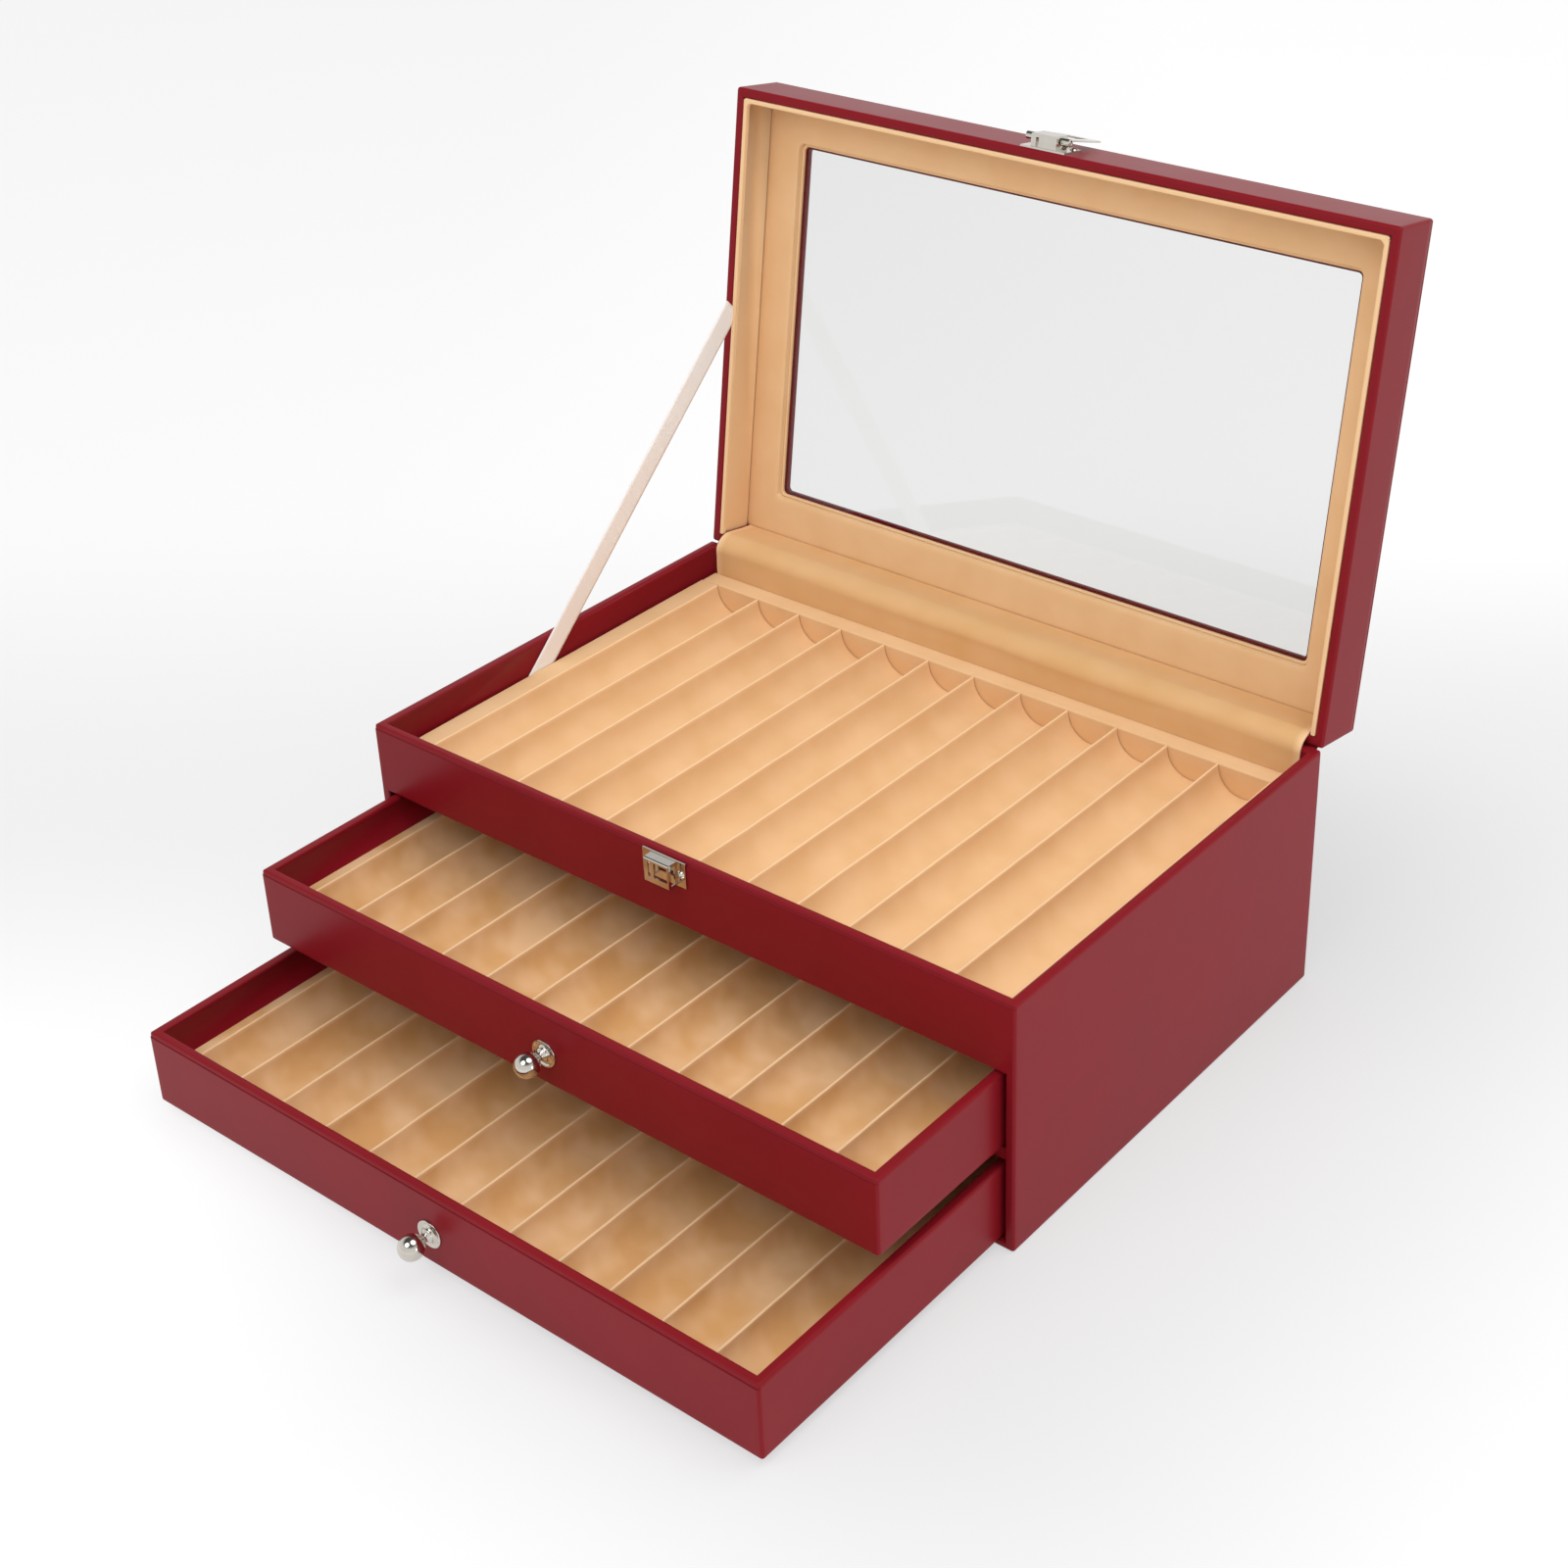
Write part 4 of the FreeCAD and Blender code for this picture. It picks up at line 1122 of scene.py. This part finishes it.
def white_room(scene):
    """White room: plain light on the object, near white where it is seen."""
    world = bpy.data.worlds.new("white room")
    scene.world = world
    world.use_nodes = True
    tree = world.node_tree
    tree.nodes.clear()
    light = add(tree, "ShaderNodeBackground", {
        "Color": (1, 1, 1), "Strength": settings("pen_stage").sky})
    ground = add(tree, "ShaderNodeBackground", {"Color": linear("#F8F8F8"), "Strength": 1.0})
    height = add(tree, "ShaderNodeSeparateXYZ", {
        "Vector": add(tree, "ShaderNodeTexCoord").outputs["Generated"]}).outputs["Z"]
    ceiling = add(tree, "ShaderNodeMapRange", {
        "Value": height, "From Min": 0.42, "From Max": 0.8, "To Min": 0.9,
        "To Max": 0.08}, interpolation_type="SMOOTHSTEP")
    room = add(tree, "ShaderNodeBackground", {"Color": ceiling})
    mixed = add(tree, "ShaderNodeMixShader", {0: seen(tree), 1: light, 2: ground})
    glossy = add(tree, "ShaderNodeLightPath").outputs["Is Glossy Ray"]
    mirrored = add(tree, "ShaderNodeMixShader", {0: glossy, 1: mixed, 2: room})
    add(tree, "ShaderNodeOutputWorld", {"Surface": mirrored})


def hang_lamps():
    """Wide soft lamps above the right end and in front, and one low for the outer sides."""
    for name, place, size, share in (("key", (0.6, 0.12, 1.7), 1.3, 1.0),
                                     ("front", (-0.1, -1.3, 1.6), 1.2, 0.8),
                                     ("fill", (1.9, -0.1, 0.3), 0.5, 0.3)):
        lamp = bpy.data.lights.new(name, "AREA")
        lamp.shape = "DISK"
        lamp.size = size
        lamp.energy = settings("pen_stage").lamp * share
        holder = placed(name, lamp)
        aim = Vector((0, 0, 0.1)) - Vector(place)
        holder.location = place
        holder.rotation_euler = aim.to_track_quat("-Z", "Y").to_euler()


def set_camera(scene):
    """Three-quarter view from the right, a little above the open lid's middle."""
    view = bpy.data.cameras.new("view")
    view.lens, view.sensor_width = 58.267, 36
    view.shift_x, view.shift_y = -0.05658, -0.08850
    view.clip_start, view.clip_end = 0.01, 100
    holder = placed("view", view)
    holder.location = (0.594971, -0.714224, 0.667356)
    holder.rotation_euler = [math.radians(a) for a in (61.3721, 1.23547, 38.1987)]
    scene.camera = holder


class PENCHEST_OT_set_stage(bpy.types.Operator):
    """White floor, soft lamps and the camera"""
    bl_idname = "penchest.set_stage"
    bl_label = "Set the stage"

    def execute(self, context):
        lay_floor()
        white_room(context.scene)
        hang_lamps()
        set_camera(context.scene)
        context.scene.view_settings.view_transform = "Standard"
        return {"FINISHED"}


# ---- panel and registration
OPERATORS = (PENCHEST_OT_set_stage, PENCHEST_OT_wrap_body, PENCHEST_OT_wrap_drawers,
             PENCHEST_OT_wrap_lid, PENCHEST_OT_line_trays, PENCHEST_OT_line_lid,
             PENCHEST_OT_hang_hinge, PENCHEST_OT_hang_ribbon, PENCHEST_OT_fit_latch,
             PENCHEST_OT_fit_knobs)
GROUPS = (("pen_leather", LeatherSettings), ("pen_velvet", VelvetSettings),
          ("pen_tray", TraySettings), ("pen_ribbon", RibbonSettings),
          ("pen_metal", MetalSettings), ("pen_stage", StageSettings))


class PENCHEST_PT_sidebar(bpy.types.Panel):
    """Settings and steps of the pen chest"""
    bl_idname = "PENCHEST_PT_sidebar"
    bl_label = "Pen chest"
    bl_space_type = "VIEW_3D"
    bl_region_type = "UI"
    bl_category = "Pen chest"

    def draw(self, context):
        for name, group in GROUPS:
            box = self.layout.box()
            for key in group.__annotations__:
                box.prop(getattr(context.scene, name), key)
        for operator in OPERATORS:
            self.layout.operator(operator.bl_idname)


def register():
    for name, group in GROUPS:
        bpy.utils.register_class(group)
        setattr(bpy.types.Scene, name, bpy.props.PointerProperty(type=group))
    for operator in OPERATORS:
        bpy.utils.register_class(operator)
    bpy.utils.register_class(PENCHEST_PT_sidebar)


def unregister():
    bpy.utils.unregister_class(PENCHEST_PT_sidebar)
    for operator in reversed(OPERATORS):
        bpy.utils.unregister_class(operator)
    for name, group in reversed(GROUPS):
        delattr(bpy.types.Scene, name)
        bpy.utils.unregister_class(group)


def main():
    register()
    for operator in OPERATORS:
        group, step = operator.bl_idname.split(".")
        getattr(getattr(bpy.ops, group), step)()


if __name__ == "__main__":
    main()
